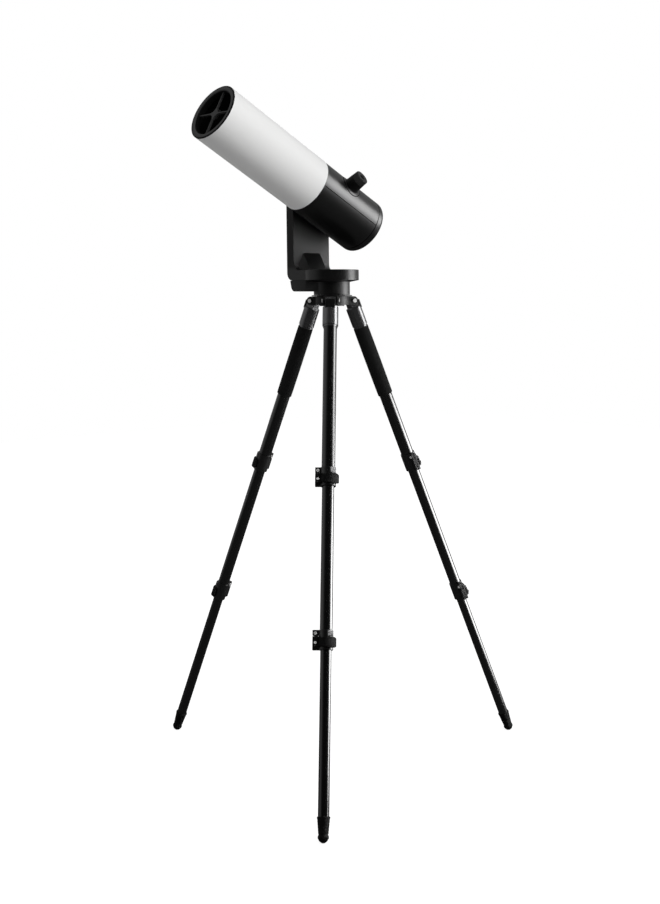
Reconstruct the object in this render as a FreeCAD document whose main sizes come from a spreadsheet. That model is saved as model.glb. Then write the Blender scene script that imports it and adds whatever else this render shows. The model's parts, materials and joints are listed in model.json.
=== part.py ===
import FreeCAD, Part
import math
import os
import Sketcher

# Motorised prime-focus telescope on a three-section tripod.
# Frame: Z up, origin on the floor under the azimuth axis. The tube lies in the XZ plane and points
# towards +X; the arm stands on its -Y side and the altitude axis runs along Y.

os.makedirs("parts", exist_ok=True)
doc = FreeCAD.newDocument("telescope")
sheet = doc.addObject("Spreadsheet::Sheet", "Sizes")

SIZES = {
    # Tripod: legs
    "leg_angle": 22.1,
    "leg_length": 1408.6,
    "hinge_radius": 59,
    "front_leg_bearing": 45,
    "upper_leg_radius": 18,
    "middle_leg_radius": 16,
    "lower_leg_radius": 14,
    "leg_wall": 1.2,
    "slide_play": 0.05,
    "overlap_length": 67,
    "upper_clamp_distance": 497,
    "lower_clamp_distance": 921,
    # Leg cap, hinge and angle stop
    "lug_radius": 12,
    "neck_width": 29,
    "cheek_width": 5.2,
    "hinge_play": 0.4,
    "pin_radius": 4,
    "pin_head_radius": 6,
    "pin_head_length": 3,
    "cap_radius": 21.5,
    "cap_top": 21,
    "cap_shoulder": 74,
    "cap_bottom": 79,
    "cap_ring_radius": 19.6,
    "socket_depth": 39,
    "recess_width": 14,
    "recess_depth": 2.6,
    "recess_length": 26,
    "tab_width": 26,
    "tab_depth": 7.6,
    "tab_top": 3,
    "tab_bottom": 27,
    "stem_width": 10,
    "stem_length": 16,
    # Clamps and levers
    "clamp_length": 50,
    "collar_wall": 2.5,
    "ear_reach": 34,
    "ear_width": 14,
    "upper_ear_length": 13.5,
    "lower_ear_length": 34,
    "split_width": 1.6,
    "bolt_head_radius": 3.2,
    "bolt_head_length": 2.5,
    "lever_pin_offset": 13,
    "lever_pin_reach": 24,
    "lever_pin_radius": 2,
    "knuckle_radius": 5,
    "knuckle_length": 19,
    "lug_length": 3.4,
    "lever_gap": 0.4,
    "lever_thickness": 5.6,
    "lever_height": 30,
    "lever_tip_radius": 4,
    # Foot and grip
    "foot_round": 13.7,
    "foot_neck_radius": 12.3,
    "foot_neck_length": 7.3,
    "foot_sleeve_radius": 16,
    "foot_sleeve_length": 41,
    "foot_socket": 20,
    "grip_radius": 21,
    "grip_play": 0.2,
    "grip_length": 206,
    # Tripod head
    "hub_radius": 34,
    "plate_radius": 56,
    "plate_thickness": 2.8,
    "plate_gap": 0.6,
    "stem_radius": 4,
    "stem_play": 0.3,
    "knob_radius": 17,
    "knob_height": 18,
    "knob_drop": 4,
    # Azimuth spigot and drive
    "spigot_flange_radius": 28,
    "spigot_flange_height": 3.5,
    "gear_gap": 2,
    "gear_height": 11,
    "tooth_module": 2,
    "azimuth_teeth": 33,
    "azimuth_pinion_teeth": 9,
    "altitude_teeth": 36,
    "altitude_pinion_teeth": 8,
    "spigot_shoulder_radius": 15,
    "bearing_inner_radius": 11,
    "bearing_outer_radius": 19,
    "bearing_height": 10,
    "bearing_play": 0.03,
    "boss_wall": 4,
    "motor_radius": 15,
    "motor_shaft_radius": 3,
    # Rotating base and arm
    "drum_radius": 50,
    "drum_height": 40.4,
    "box_height": 30,
    "housing_wall": 3,
    "disc_radius": 75,
    "disc_height": 28.5,
    "disc_wall": 5,
    "flare_height": 5,
    "arm_half_width": 66,
    "arm_clearance": 5.6,
    "arm_thickness": 29,
    "arm_wall": 6,
    "arm_corner": 22,
    "arm_fillet": 18,
    "box_inset": 13,
    "box_slant": 7,
    "box_corner": 16,
    "box_root": 35,
    "pivot_rise": 183.2,
    "cover_thickness": 3,
    "cover_border": 6,
    "cover_ledge": 4,
    "cover_play": 0.25,
    "arm_pocket_rise": 9,
    "wedge_base": 57,
    "wedge_top": 30,
    "wedge_reach": 31,
    "wedge_height": 49,
    "battery_length": 42,
    "battery_width": 40,
    "battery_height": 44,
    "button_radius": 7,
    "button_length": 9,
    "button_rise": 16,
    "button_back": 66,
    "button_play": 0.2,
    "port_width": 10,
    "port_height": 4,
    # Altitude axis
    "altitude_angle": 28,
    "altitude_bearing_inner": 20,
    "altitude_bearing_outer": 27,
    "hub_disc_radius": 44.5,
    "hub_play": 0.6,
    "altitude_gear_offset": 8.5,
    "altitude_gear_width": 6,
    "altitude_motor_radius": 17,
    "altitude_motor_length": 9,
    # Tube
    "tube_radius": 78.4,
    "cover_step": 0.6,
    "cover_wall": 2.5,
    "cover_seat": 0.3,
    "shell_wall": 3,
    "tube_front": 452,
    "white_end": 98.5,
    "cap_seam": 115,
    "tube_rear": 140,
    "rear_round": 15,
    "seam_play": 0.3,
    "split_drop": 8.2,
    "spigot_play": 0.1,
    "ring_lip": 2.5,
    "ring_chamfer": 2.2,
    "ring_depth": 18,
    "ring_border": 8.5,
    "aperture_bevel": 3,
    "vane_width": 3,
    "vane_depth": 6,
    "vane_set_back": 7,
    "star_half": 21.5,
    "vane_play": 0.1,
    "camera_radius": 16,
    "camera_length": 34,
    "lens_hood_radius": 11,
    "lens_hood_length": 5,
    "mirror_margin": 15,
    "mirror_thickness": 16,
    "mirror_distance": 45,
    "mirror_curve": 900,
    "cell_thickness": 10,
    "cell_lip": 4,
    "cell_lip_height": 10,
    # Eyepiece
    "eye_angle": 40,
    "eye_disc_radius": 28,
    "eye_skirt_radius": 26,
    "eye_barrel_radius": 20.5,
    "eye_skirt_top": 8.6,
    "eye_barrel_top": 22,
    "eye_top": 40,
    "eye_neck_radius": 16,
    "eye_neck_length": 9,
    "eye_bore_radius": 13,
    "eye_rim_radius": 19,
    "eye_chamfer": 1.5,
    "eye_hole_radius": 5.5,
    "eye_lens_thickness": 4,
}

for row, (alias, number) in enumerate(SIZES.items(), 1):
    sheet.set("A%d" % row, alias)
    sheet.set("B%d" % row, str(number))
    sheet.setAlias("B%d" % row, alias)
doc.recompute()


class Size:
    """A length or count: its number, and the sheet expression that gives it."""

    def __init__(self, number, text=None):
        self.number = float(number)
        self.text = text or repr(self.number)

    def joined(self, other, sign, number):
        """Return this size combined with another one by an arithmetic sign."""
        return Size(number, "(%s %s %s)" % (self.text, sign, sized(other).text))

    def __add__(self, other):
        return self.joined(other, "+", self.number + sized(other).number)

    def __sub__(self, other):
        return self.joined(other, "-", self.number - sized(other).number)

    def __mul__(self, other):
        return self.joined(other, "*", self.number * sized(other).number)

    def __truediv__(self, other):
        return self.joined(other, "/", self.number / sized(other).number)

    def __neg__(self):
        return Size(0) - self

    __radd__ = __add__

    def __rsub__(self, other):
        return sized(other) - self

    __rmul__ = __mul__

    def __float__(self):
        return self.number


def sized(value):
    """Return the value as a Size."""
    return value if isinstance(value, Size) else Size(value)


class SheetSizes:
    """Every alias of the sheet as an attribute."""

    def __getattr__(self, alias):
        return Size(sheet.get(alias), "Sizes." + alias)


d = SheetSizes()
names = {}


def fresh(name):
    """Return an internal object name that is not used yet."""
    names[name] = names.get(name, 0) + 1
    return "%s_%d" % (name, names[name])


def bind(item, prop, size):
    """Drive one property of an object from the sheet."""
    item.setExpression(prop, sized(size).text)


def locate(item, at, along="z", spin=0.0):
    """Place a primitive: its own Z axis turned to run along an axis, spun about it, base at a point."""
    turns = {
        "z": FreeCAD.Rotation(),
        "x": FreeCAD.Rotation(FreeCAD.Vector(0, 1, 0), 90),
        "y": FreeCAD.Rotation(FreeCAD.Vector(1, 0, 0), -90),
    }
    spun = FreeCAD.Rotation(FreeCAD.Vector(0, 0, 1), spin)
    base = FreeCAD.Vector(*[float(size) for size in at])
    item.Placement = FreeCAD.Placement(base, turns[along].multiply(spun))
    for letter, size in zip("xyz", at):
        bind(item, "Placement.Base." + letter, size)


def rod(radius, length, at=(0, 0, 0), along="z", angle=360, start=0):
    """Cylinder, or a sector of one from a start angle."""
    item = doc.addObject("Part::Cylinder", fresh("rod"))
    bind(item, "Radius", radius)
    bind(item, "Height", length)
    item.Angle = angle
    locate(item, at, along, start)
    return item


def taper(base_radius, top_radius, length, at=(0, 0, 0), along="z"):
    """Truncated cone."""
    item = doc.addObject("Part::Cone", fresh("taper"))
    bind(item, "Radius1", base_radius)
    bind(item, "Radius2", top_radius)
    bind(item, "Height", length)
    locate(item, at, along)
    return item


def ball(radius, at=(0, 0, 0)):
    """Sphere."""
    item = doc.addObject("Part::Sphere", fresh("ball"))
    bind(item, "Radius", radius)
    locate(item, at)
    return item


def block(low, high):
    """Box between two opposite corners."""
    item = doc.addObject("Part::Box", fresh("block"))
    for prop, first, last in zip(("Length", "Width", "Height"), low, high):
        bind(item, prop, sized(last) - first)
    locate(item, low)
    return item


def joined(parts, label=None):
    """Fuse several shapes into one solid."""
    item = doc.addObject("Part::MultiFuse", fresh(label or "joined"))
    item.Shapes = parts
    item.Refine = True
    return item


def shared(first, second, label=None):
    """Keep only what two shapes share."""
    item = doc.addObject("Part::Common", fresh(label or "shared"))
    item.Base = first
    item.Tool = second
    return item


def cut(base, tools, label=None):
    """Take several shapes out of one."""
    item = doc.addObject("Part::Cut", fresh(label or "cut"))
    item.Base = base
    item.Tool = tools[0] if len(tools) == 1 else joined(tools)
    item.Refine = True
    return item


def sketch_in(body, role, corners):
    """Draw a closed outline on an origin plane of a body, each corner held by named sizes."""
    sketch = body.newObject("Sketcher::SketchObject", fresh("outline"))
    plane = [item for item in body.Origin.OriginFeatures if item.Role == role][0]
    sketch.AttachmentSupport = [(plane, "")]
    sketch.MapMode = "FlatFace"
    points = [FreeCAD.Vector(float(x), float(y), 0) for x, y in corners]
    for index, point in enumerate(points):
        following = points[(index + 1) % len(points)]
        sketch.addGeometry(Part.LineSegment(point, following), False)
    for index in range(len(points)):
        sketch.addConstraint(Sketcher.Constraint("Coincident", index, 2, (index + 1) % len(points), 1))
    for index, corner in enumerate(corners):
        for kind, other_axis, size in zip(("DistanceX", "DistanceY"), (-2, -1), corner):
            size = sized(size)
            if abs(size.number) < 1e-9:
                sketch.addConstraint(Sketcher.Constraint("PointOnObject", index, 1, other_axis))
                continue
            number = sketch.addConstraint(Sketcher.Constraint(kind, -1, 1, index, 1, size.number))
            sketch.setExpression("Constraints[%d]" % number, size.text)
    return sketch


def padded(role, corners, length, label=None):
    """Body made of one outline pulled straight out of its plane."""
    body = doc.addObject("PartDesign::Body", fresh(label or "padded"))
    pad = body.newObject("PartDesign::Pad", fresh("pad"))
    pad.Profile = sketch_in(body, role, corners)
    bind(pad, "Length", length)
    return body, pad


def turned(corners, label=None):
    """Body turned about its own Z axis from (radius, height) corners."""
    body = doc.addObject("PartDesign::Body", fresh(label or "turned"))
    sketch = sketch_in(body, "XZ_Plane", corners)
    spin = body.newObject("PartDesign::Revolution", fresh("spin"))
    spin.Profile = sketch
    spin.ReferenceAxis = (sketch, ["V_Axis"])
    spin.Angle = 360
    return body, spin


def rounded(body, feature, radius, chosen):
    """Round the edges of a body that a test picks out."""
    doc.recompute()
    edges = ["Edge%d" % (i + 1) for i, edge in enumerate(feature.Shape.Edges) if chosen(edge)]
    fillet = body.newObject("PartDesign::Fillet", fresh("fillet"))
    fillet.Base = (feature, edges)
    bind(fillet, "Radius", radius)
    return fillet


def toothed(teeth, height, label=None):
    """Spur wheel about Z standing on z = 0, a tooth on the X axis."""
    pitch_radius = d.tooth_module * teeth / 2
    root_radius = pitch_radius - d.tooth_module
    tip_radius = pitch_radius + d.tooth_module * 0.7
    body = doc.addObject("PartDesign::Body", fresh(label or "toothed"))
    disc = body.newObject("Sketcher::SketchObject", fresh("outline"))
    plane = [item for item in body.Origin.OriginFeatures if item.Role == "XY_Plane"][0]
    disc.AttachmentSupport = [(plane, "")]
    disc.MapMode = "FlatFace"
    circle = Part.Circle(FreeCAD.Vector(0, 0, 0), FreeCAD.Vector(0, 0, 1), float(root_radius))
    disc.addGeometry(circle, False)
    disc.addConstraint(Sketcher.Constraint("Coincident", 0, 3, -1, 1))
    number = disc.addConstraint(Sketcher.Constraint("Radius", 0, float(root_radius)))
    disc.setExpression("Constraints[%d]" % number, root_radius.text)
    core = body.newObject("PartDesign::Pad", fresh("core"))
    core.Profile = disc
    bind(core, "Length", height)
    half_root = d.tooth_module * 0.85
    half_tip = d.tooth_module * 0.28
    corners = [
        (root_radius - d.tooth_module * 0.4, -half_root),
        (tip_radius, -half_tip),
        (tip_radius, half_tip),
        (root_radius - d.tooth_module * 0.4, half_root),
    ]
    tooth = body.newObject("PartDesign::Pad", fresh("tooth"))
    tooth.Profile = sketch_in(body, "XY_Plane", corners)
    bind(tooth, "Length", height)
    ring = body.newObject("PartDesign::PolarPattern", fresh("teeth"))
    ring.Originals = [tooth]
    ring.Axis = (disc, ["N_Axis"])
    ring.Angle = 360
    body.Tip = ring
    bind(ring, "Occurrences", teeth)
    return body


def moved(item, placement):
    """Carry a shape to where it stands; its base point then follows the placement alone."""
    for letter in "xyz":
        item.setExpression("Placement.Base." + letter, None)
    item.Placement = placement.multiply(item.Placement)
    return item


nodes = []


def piece(item, label, placement=None):
    """Name a finished piece and place it."""
    item.Label = label
    if placement is not None:
        moved(item, placement)
    nodes.append(item)
    return item


def tilt(axis, degrees, base=(0, 0, 0)):
    """Placement that turns about an axis and then shifts to a point."""
    return FreeCAD.Placement(FreeCAD.Vector(*[float(value) for value in base]),
                             FreeCAD.Rotation(FreeCAD.Vector(*axis), float(degrees)))


# Heights that several pieces share. The feet are round, so the hinge height follows from the leg.
lean = math.radians(float(d.leg_angle))
hinge_height = (d.leg_length - d.foot_round) * math.cos(lean) + d.foot_round
plate_bottom = hinge_height + d.lug_radius + d.hinge_play
plate_top = plate_bottom + d.plate_thickness
drum_bottom = plate_top + d.plate_gap
disc_bottom = drum_bottom + d.drum_height
disc_top = disc_bottom + d.disc_height
pivot_height = disc_top + d.pivot_rise

LEGS = {"front": 0, "left": -120, "right": 120}
bracket_half = d.neck_width / 2 + d.hinge_play + d.cheek_width
slot_half = d.neck_width / 2 + d.hinge_play

# Tripod head: hub, thin top plate and three forked brackets. Root of the assembly.
hub_bottom = hinge_height - d.lug_radius - d.plate_thickness
brackets = []
holes = [rod(d.stem_radius + d.stem_play, plate_top - hub_bottom, (0, 0, hub_bottom))]
pins = []
for turn in LEGS.values():
    bearing = tilt((0, 0, 1), float(d.front_leg_bearing) + turn)
    bar = block((0, -bracket_half, hinge_height - d.lug_radius),
                (d.hinge_radius, bracket_half, hinge_height + d.lug_radius))
    eye = rod(d.lug_radius, bracket_half * 2, (d.hinge_radius, -bracket_half, hinge_height), "y")
    slot = block((d.hinge_radius - d.lug_radius - d.hinge_play * 4, -slot_half, hinge_height - d.lug_radius * 2),
                 (d.hinge_radius + d.lug_radius * 2, slot_half, hinge_height + d.lug_radius + d.hinge_play))
    bore = rod(d.pin_radius, bracket_half * 2, (d.hinge_radius, -bracket_half, hinge_height), "y")
    brackets.append(moved(cut(joined([bar, eye]), [slot, bore]), bearing))
    pin = rod(d.pin_radius, bracket_half * 2, (d.hinge_radius, -bracket_half, hinge_height), "y")
    heads = [rod(d.pin_head_radius, d.pin_head_length,
                 (d.hinge_radius, -bracket_half - d.pin_head_length, hinge_height), "y"),
             rod(d.pin_head_radius, d.pin_head_length, (d.hinge_radius, bracket_half, hinge_height), "y")]
    pins.append(moved(joined([pin] + heads), bearing))
hub = rod(d.hub_radius, plate_top - hub_bottom, (0, 0, hub_bottom))
plate = rod(d.plate_radius, d.plate_thickness, (0, 0, plate_bottom))
bridge = rod(d.hinge_radius - d.lug_radius - d.hinge_play * 4, d.lug_radius * 2,
             (0, 0, hinge_height - d.lug_radius))
piece(cut(joined([hub, plate, bridge] + brackets), holes, "head"), "tripod_head")
bolts = doc.addObject("Part::Compound", fresh("bolts"))
bolts.Links = pins
piece(bolts, "hinge_pins")

# Fixing knob under the hub: its threaded stem holds the telescope base on the plate.
knob_top = hub_bottom - d.knob_drop
stem_top = drum_bottom + d.spigot_flange_height
knob = rod(d.knob_radius, d.knob_height, (0, 0, knob_top - d.knob_height))
shoulder = taper(d.knob_radius, d.stem_radius * 2, d.knob_drop - d.stem_play, (0, 0, knob_top))
stem = rod(d.stem_radius, stem_top - knob_top, (0, 0, knob_top))
flutes = [moved(rod(d.knob_radius / 5, d.knob_height, (d.knob_radius, 0, knob_top - d.knob_height)),
                tilt((0, 0, 1), 60 * step)) for step in range(6)]
piece(cut(joined([knob, shoulder, stem]), flutes, "knob"), "fixing_knob")

# Azimuth spigot: fixed on the plate, it carries the ring gear and the inner ring of the bearing.
box_bottom = disc_bottom - d.box_height
gear_bottom = box_bottom + d.housing_wall + d.gear_gap
gear_top = gear_bottom + d.gear_height
bearing_bottom = gear_top + d.gear_gap * 2
spigot_flange = rod(d.spigot_flange_radius, gear_bottom - plate_top, (0, 0, plate_top))
ring_gear = toothed(d.azimuth_teeth, d.gear_height)
spigot_neck = rod(d.spigot_shoulder_radius, bearing_bottom - gear_top, (0, 0, gear_top))
spigot_seat = rod(d.bearing_inner_radius - d.bearing_play, d.bearing_height, (0, 0, bearing_bottom))
spigot_bore = rod(d.stem_radius + d.stem_play, stem_top + d.stem_play * 4 - plate_top, (0, 0, plate_top))
ring_gear.Placement = tilt((0, 0, 1), -90, (0, 0, gear_bottom))
piece(cut(joined([spigot_flange, ring_gear, spigot_neck, spigot_seat]), [spigot_bore], "spigot"),
      "azimuth_spigot")

# Arm frame: arm, foot and turntable disc are one casting, hollow from below and from outside.
arm_inner = d.tube_radius + d.arm_clearance
arm_outer = arm_inner + d.arm_thickness
arm_body, arm_pad = padded(
    "YZ_Plane",
    [(-arm_outer, pivot_height), (-arm_outer, disc_bottom), (0, disc_bottom), (0, disc_top),
     (-arm_inner, disc_top), (-arm_inner, pivot_height)],
    d.arm_half_width * 2)


def near_corner(across, height):
    """Return a test for straight edges along X through one corner of the arm's profile."""
    def test(edge):
        middle = edge.CenterOfMass
        return (abs(middle.y - float(across)) < 0.1 and abs(middle.z - float(height)) < 0.1
                and abs(edge.Length - 2 * float(d.arm_half_width)) < 0.1)
    return test


outer_round = rounded(arm_body, arm_pad, d.arm_corner, near_corner(-arm_outer, disc_bottom))
rounded(arm_body, outer_round, d.arm_fillet, near_corner(-arm_inner, disc_top))
locate(arm_body, (-d.arm_half_width, 0, 0))
arm_head = rod(d.arm_half_width, d.arm_thickness, (0, -arm_outer, pivot_height), "y")
disc = rod(d.disc_radius, d.disc_height, (0, 0, disc_bottom))
pocket_half = d.arm_half_width - d.cover_border - d.cover_ledge
lid_half = d.arm_half_width - d.cover_border
pocket_floor = disc_top + d.arm_pocket_rise
lid_inner = -arm_outer + d.cover_thickness
arm_pocket = joined([
    block((-pocket_half, -arm_outer, pocket_floor + d.cover_ledge),
          (pocket_half, -arm_inner - d.arm_wall, pivot_height)),
    rod(pocket_half, d.arm_thickness - d.arm_wall, (0, -arm_outer, pivot_height), "y")])
lid_seat = joined([
    block((-lid_half, -arm_outer, pocket_floor), (lid_half, lid_inner, pivot_height)),
    rod(lid_half, d.cover_thickness, (0, -arm_outer, pivot_height), "y")])
foot_half = d.arm_half_width - d.housing_wall
foot_pocket = joined([
    block((-foot_half, -arm_inner, disc_bottom), (foot_half, 0, disc_top - d.disc_wall)),
    rod(d.disc_radius - d.disc_wall, d.disc_height - d.disc_wall, (0, 0, disc_bottom))])
bearing_hole = rod(d.altitude_bearing_outer, d.arm_wall, (0, -arm_inner - d.arm_wall, pivot_height), "y")
boss_radius = d.bearing_outer_radius + d.boss_wall
boss = cut(
    rod(boss_radius, disc_top - d.disc_wall - bearing_bottom, (0, 0, bearing_bottom)),
    [rod(d.bearing_outer_radius, d.bearing_height, (0, 0, bearing_bottom)),
     rod(d.spigot_shoulder_radius, disc_top - d.disc_wall - bearing_bottom, (0, 0, bearing_bottom))])
arm_frame = joined([cut(joined([arm_body, arm_head, disc]),
                        [arm_pocket, lid_seat, foot_pocket, bearing_hole]), boss], "arm")
piece(arm_frame, "arm_frame")

# Arm cover: flush plate on the ledge of the arm's outer side.
cover_half = lid_half - d.cover_play
arm_cover = joined([
    block((-cover_half, -arm_outer, pocket_floor + d.cover_play), (cover_half, lid_inner, pivot_height)),
    rod(cover_half, d.cover_thickness, (0, -arm_outer, pivot_height), "y")], "arm_cover")
piece(arm_cover, "arm_cover")

# Drive box: lower box and drum under the foot, one hollow housing that turns with the arm.
box_reach = arm_outer - d.box_inset
box_body, box_pad = padded(
    "YZ_Plane",
    [(-box_reach, disc_bottom), (d.box_slant - box_reach, box_bottom), (-d.box_root, box_bottom),
     (-d.box_root, disc_bottom)],
    d.arm_half_width * 2)
rounded(box_body, box_pad, d.box_corner, near_corner(d.box_slant - box_reach, box_bottom))
locate(box_body, (-d.arm_half_width, 0, 0))
neck_body, neck_pad = padded(
    "XY_Plane",
    [(-d.arm_half_width, -d.box_root), (d.arm_half_width, -d.box_root), (d.drum_radius, 0),
     (-d.drum_radius, 0)],
    d.box_height)
bind(neck_body, "Placement.Base.z", box_bottom)
drum = rod(d.drum_radius, d.drum_height, (0, 0, drum_bottom))
flare = taper(d.drum_radius, d.disc_radius, d.flare_height, (0, 0, disc_bottom - d.flare_height))
box_hollow = block((-foot_half, -box_reach + d.box_slant + d.box_corner, box_bottom + d.housing_wall),
                   (foot_half, -d.box_root + d.housing_wall, disc_bottom))
drum_hollow = rod(d.drum_radius - d.housing_wall, d.drum_height, (0, 0, drum_bottom))
button_height = box_bottom + d.button_rise
button_hole = rod(d.button_radius + d.button_play, d.housing_wall,
                  (-d.arm_half_width, -d.button_back, button_height), "x")
port = block((-d.arm_half_width, -d.button_back + d.port_width * 1.5, button_height - d.port_height / 2),
             (-foot_half, -d.button_back + d.port_width * 2.5, button_height + d.port_height / 2))
piece(cut(joined([box_body, neck_body, drum, flare]), [box_hollow, drum_hollow, button_hole, port],
          "drive_box"), "drive_box")

# Foot cover: faceted wedge in the corner between arm and disc, fitted over the fillet.
wedge_corners = {
    "back_left": (-d.wedge_base, -arm_inner, disc_top),
    "back_right": (d.wedge_base, -arm_inner, disc_top),
    "front_right": (d.wedge_top, d.wedge_reach - arm_inner, disc_top),
    "front_left": (-d.wedge_top, d.wedge_reach - arm_inner, disc_top),
    "top_right": (d.wedge_top, -arm_inner, disc_top + d.wedge_height),
    "top_left": (-d.wedge_top, -arm_inner, disc_top + d.wedge_height),
}
wedge_faces = (
    ("back_left", "front_left", "front_right", "back_right"),
    ("back_left", "back_right", "top_right", "top_left"),
    ("front_left", "top_left", "top_right", "front_right"),
    ("back_left", "top_left", "front_left"),
    ("back_right", "front_right", "top_right"),
)
faces = []
for face in wedge_faces:
    loop = [FreeCAD.Vector(*[float(value) for value in wedge_corners[corner]]) for corner in face]
    faces.append(Part.Face(Part.makePolygon(loop + loop[:1])))
wedge = doc.addObject("Part::Feature", "wedge")
wedge.Shape = Part.makeSolid(Part.makeShell(faces))
piece(cut(wedge, [arm_frame], "foot_cover"), "foot_cover")

# Bearings: azimuth bearing on the spigot, altitude bearing in the arm's inner wall.
azimuth_bearing = cut(
    rod(d.bearing_outer_radius - d.bearing_play, d.bearing_height, (0, 0, bearing_bottom)),
    [rod(d.bearing_inner_radius + d.bearing_play, d.bearing_height, (0, 0, bearing_bottom))])
altitude_bearing = cut(
    rod(d.altitude_bearing_outer - d.bearing_play, d.arm_wall,
        (0, -arm_inner - d.arm_wall, pivot_height), "y"),
    [rod(d.altitude_bearing_inner + d.bearing_play, d.arm_wall,
         (0, -arm_inner - d.arm_wall, pivot_height), "y")])
bearings = doc.addObject("Part::Compound", fresh("bearings"))
bearings.Links = [azimuth_bearing, altitude_bearing]
piece(bearings, "axis_bearings")

# Motors and their pinions. Each pinion has a gap facing the tooth of its wheel.
azimuth_reach = d.tooth_module * (d.azimuth_teeth + d.azimuth_pinion_teeth) / 2
altitude_reach = d.tooth_module * (d.altitude_teeth + d.altitude_pinion_teeth) / 2
motor_bottom = gear_top + d.gear_gap
shaft_depth = d.gear_height
azimuth_motor = cut(
    rod(d.motor_radius, disc_top - d.disc_wall - motor_bottom, (0, -azimuth_reach, motor_bottom)),
    [rod(d.motor_shaft_radius + d.slide_play, shaft_depth, (0, -azimuth_reach, motor_bottom))])
altitude_shaft_height = pivot_height - altitude_reach
altitude_motor_face = lid_inner + d.altitude_motor_length
altitude_motor = cut(
    rod(d.altitude_motor_radius, d.altitude_motor_length, (0, lid_inner, altitude_shaft_height), "y"),
    [rod(d.motor_shaft_radius + d.slide_play, d.altitude_motor_length / 2,
         (0, altitude_motor_face - d.altitude_motor_length / 2, altitude_shaft_height), "y")])
motors = doc.addObject("Part::Compound", fresh("motors"))
motors.Links = [azimuth_motor, altitude_motor]
piece(motors, "drive_motors")

azimuth_pinion = toothed(d.azimuth_pinion_teeth, d.gear_height)
azimuth_pinion.Placement = tilt((0, 0, 1), 90 + 180 / float(d.azimuth_pinion_teeth))
azimuth_shaft = rod(d.motor_shaft_radius, d.gear_height + d.gear_gap + shaft_depth * 0.8)
piece(joined([azimuth_pinion, azimuth_shaft], "azimuth_pinion"), "azimuth_pinion",
      tilt((0, 0, 1), 0, (0, -azimuth_reach, gear_bottom)))

altitude_gear_face = -arm_inner - d.altitude_gear_offset
altitude_gear_end = altitude_gear_face - d.altitude_gear_width
altitude_pinion = toothed(d.altitude_pinion_teeth, d.altitude_gear_width)
altitude_pinion.Placement = tilt((0, 0, 1), 90 + 180 / float(d.altitude_pinion_teeth))
altitude_shaft = rod(d.motor_shaft_radius,
                     altitude_gear_face - altitude_motor_face + d.altitude_motor_length * 0.4)
piece(joined([altitude_pinion, altitude_shaft], "altitude_pinion"), "altitude_pinion",
      tilt((1, 0, 0), 90, (0, altitude_gear_face, altitude_shaft_height)))

# Battery pack: inside the box, against the floor and beside the azimuth motor.
battery_side = foot_half - d.housing_wall
battery_back = -box_reach + d.box_slant + d.box_corner + d.cover_play
piece(block((battery_side - d.battery_length, battery_back, box_bottom + d.housing_wall),
            (battery_side, battery_back + d.battery_width,
             box_bottom + d.housing_wall + d.battery_height)), "battery_pack")

# Power button: push button in the box's end wall.
button = joined([
    rod(d.button_radius, d.button_length,
        (-d.arm_half_width - d.housing_wall / 2, -d.button_back, button_height), "x"),
    rod(d.button_radius + d.housing_wall / 2, d.housing_wall / 2,
        (-foot_half + d.housing_wall, -d.button_back, button_height), "x")], "button")
piece(button, "power_button")

# Tube parts are drawn with the tube axis along X and stand at the altitude angle about the pivot.
tube_place = tilt((0, 1, 0), -float(d.altitude_angle), (0, 0, pivot_height))
eye_turn = tilt((1, 0, 0), float(d.eye_angle) - 90)
eye_place = tube_place.multiply(eye_turn)
cover_radius = d.tube_radius - d.cover_step
seat_radius = cover_radius - d.cover_wall - d.cover_seat
bore_radius = seat_radius - d.shell_wall
shell_front = d.tube_front - d.ring_lip
shell_rear = -d.cap_seam + d.seam_play

# Tube shell: white tube, stepped down where the covers lie over it.
shell = joined([
    rod(d.tube_radius, shell_front - d.white_end, (d.white_end, 0, 0), "x"),
    rod(seat_radius, d.white_end - shell_rear, (shell_rear, 0, 0), "x")])
eye_port = moved(rod(d.eye_bore_radius, d.tube_radius * 1.1), eye_turn)
piece(cut(shell, [rod(bore_radius, shell_front - shell_rear, (shell_rear, 0, 0), "x"), eye_port],
          "tube_shell"), "tube_shell", tube_place)

# Front ring: bevelled trim with a spigot inside the tube; its bore takes the dust cap.
ring_back = d.tube_front - d.ring_depth
aperture_radius = bore_radius - d.ring_border
front_ring, front_spin = turned([
    (aperture_radius, ring_back),
    (bore_radius - d.spigot_play, ring_back),
    (bore_radius - d.spigot_play, shell_front),
    (d.tube_radius, shell_front),
    (d.tube_radius, d.tube_front - d.ring_chamfer * 0.8),
    (d.tube_radius - d.ring_chamfer, d.tube_front),
    (aperture_radius + d.aperture_bevel, d.tube_front),
    (aperture_radius, d.tube_front - d.aperture_bevel * 1.3)], "front_ring")
piece(front_ring, "front_ring", tube_place.multiply(tilt((0, 1, 0), 90)))

# Spider: four thin vanes flaring into a star-shaped hub, held in the ring's bore.
vane_front = d.tube_front - d.vane_set_back
vane_back = vane_front - d.vane_depth
vane_end = aperture_radius - d.vane_play
star = block((vane_back, -d.star_half, -d.star_half), (vane_front, d.star_half, d.star_half))
scoop_radius = d.star_half - d.vane_width / 2
scoops = [rod(scoop_radius, d.vane_depth, (vane_back, d.star_half * side, d.star_half * up), "x")
          for side in (-1, 1) for up in (-1, 1)]
upright = block((vane_back, -d.vane_width / 2, -vane_end), (vane_front, d.vane_width / 2, vane_end))
level = block((vane_back, -vane_end, -d.vane_width / 2), (vane_front, vane_end, d.vane_width / 2))
spider_disc = rod(vane_end, d.vane_depth, (vane_back, 0, 0), "x")
piece(shared(joined([cut(star, scoops), upright, level]), spider_disc, "spider"), "spider", tube_place)

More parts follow.
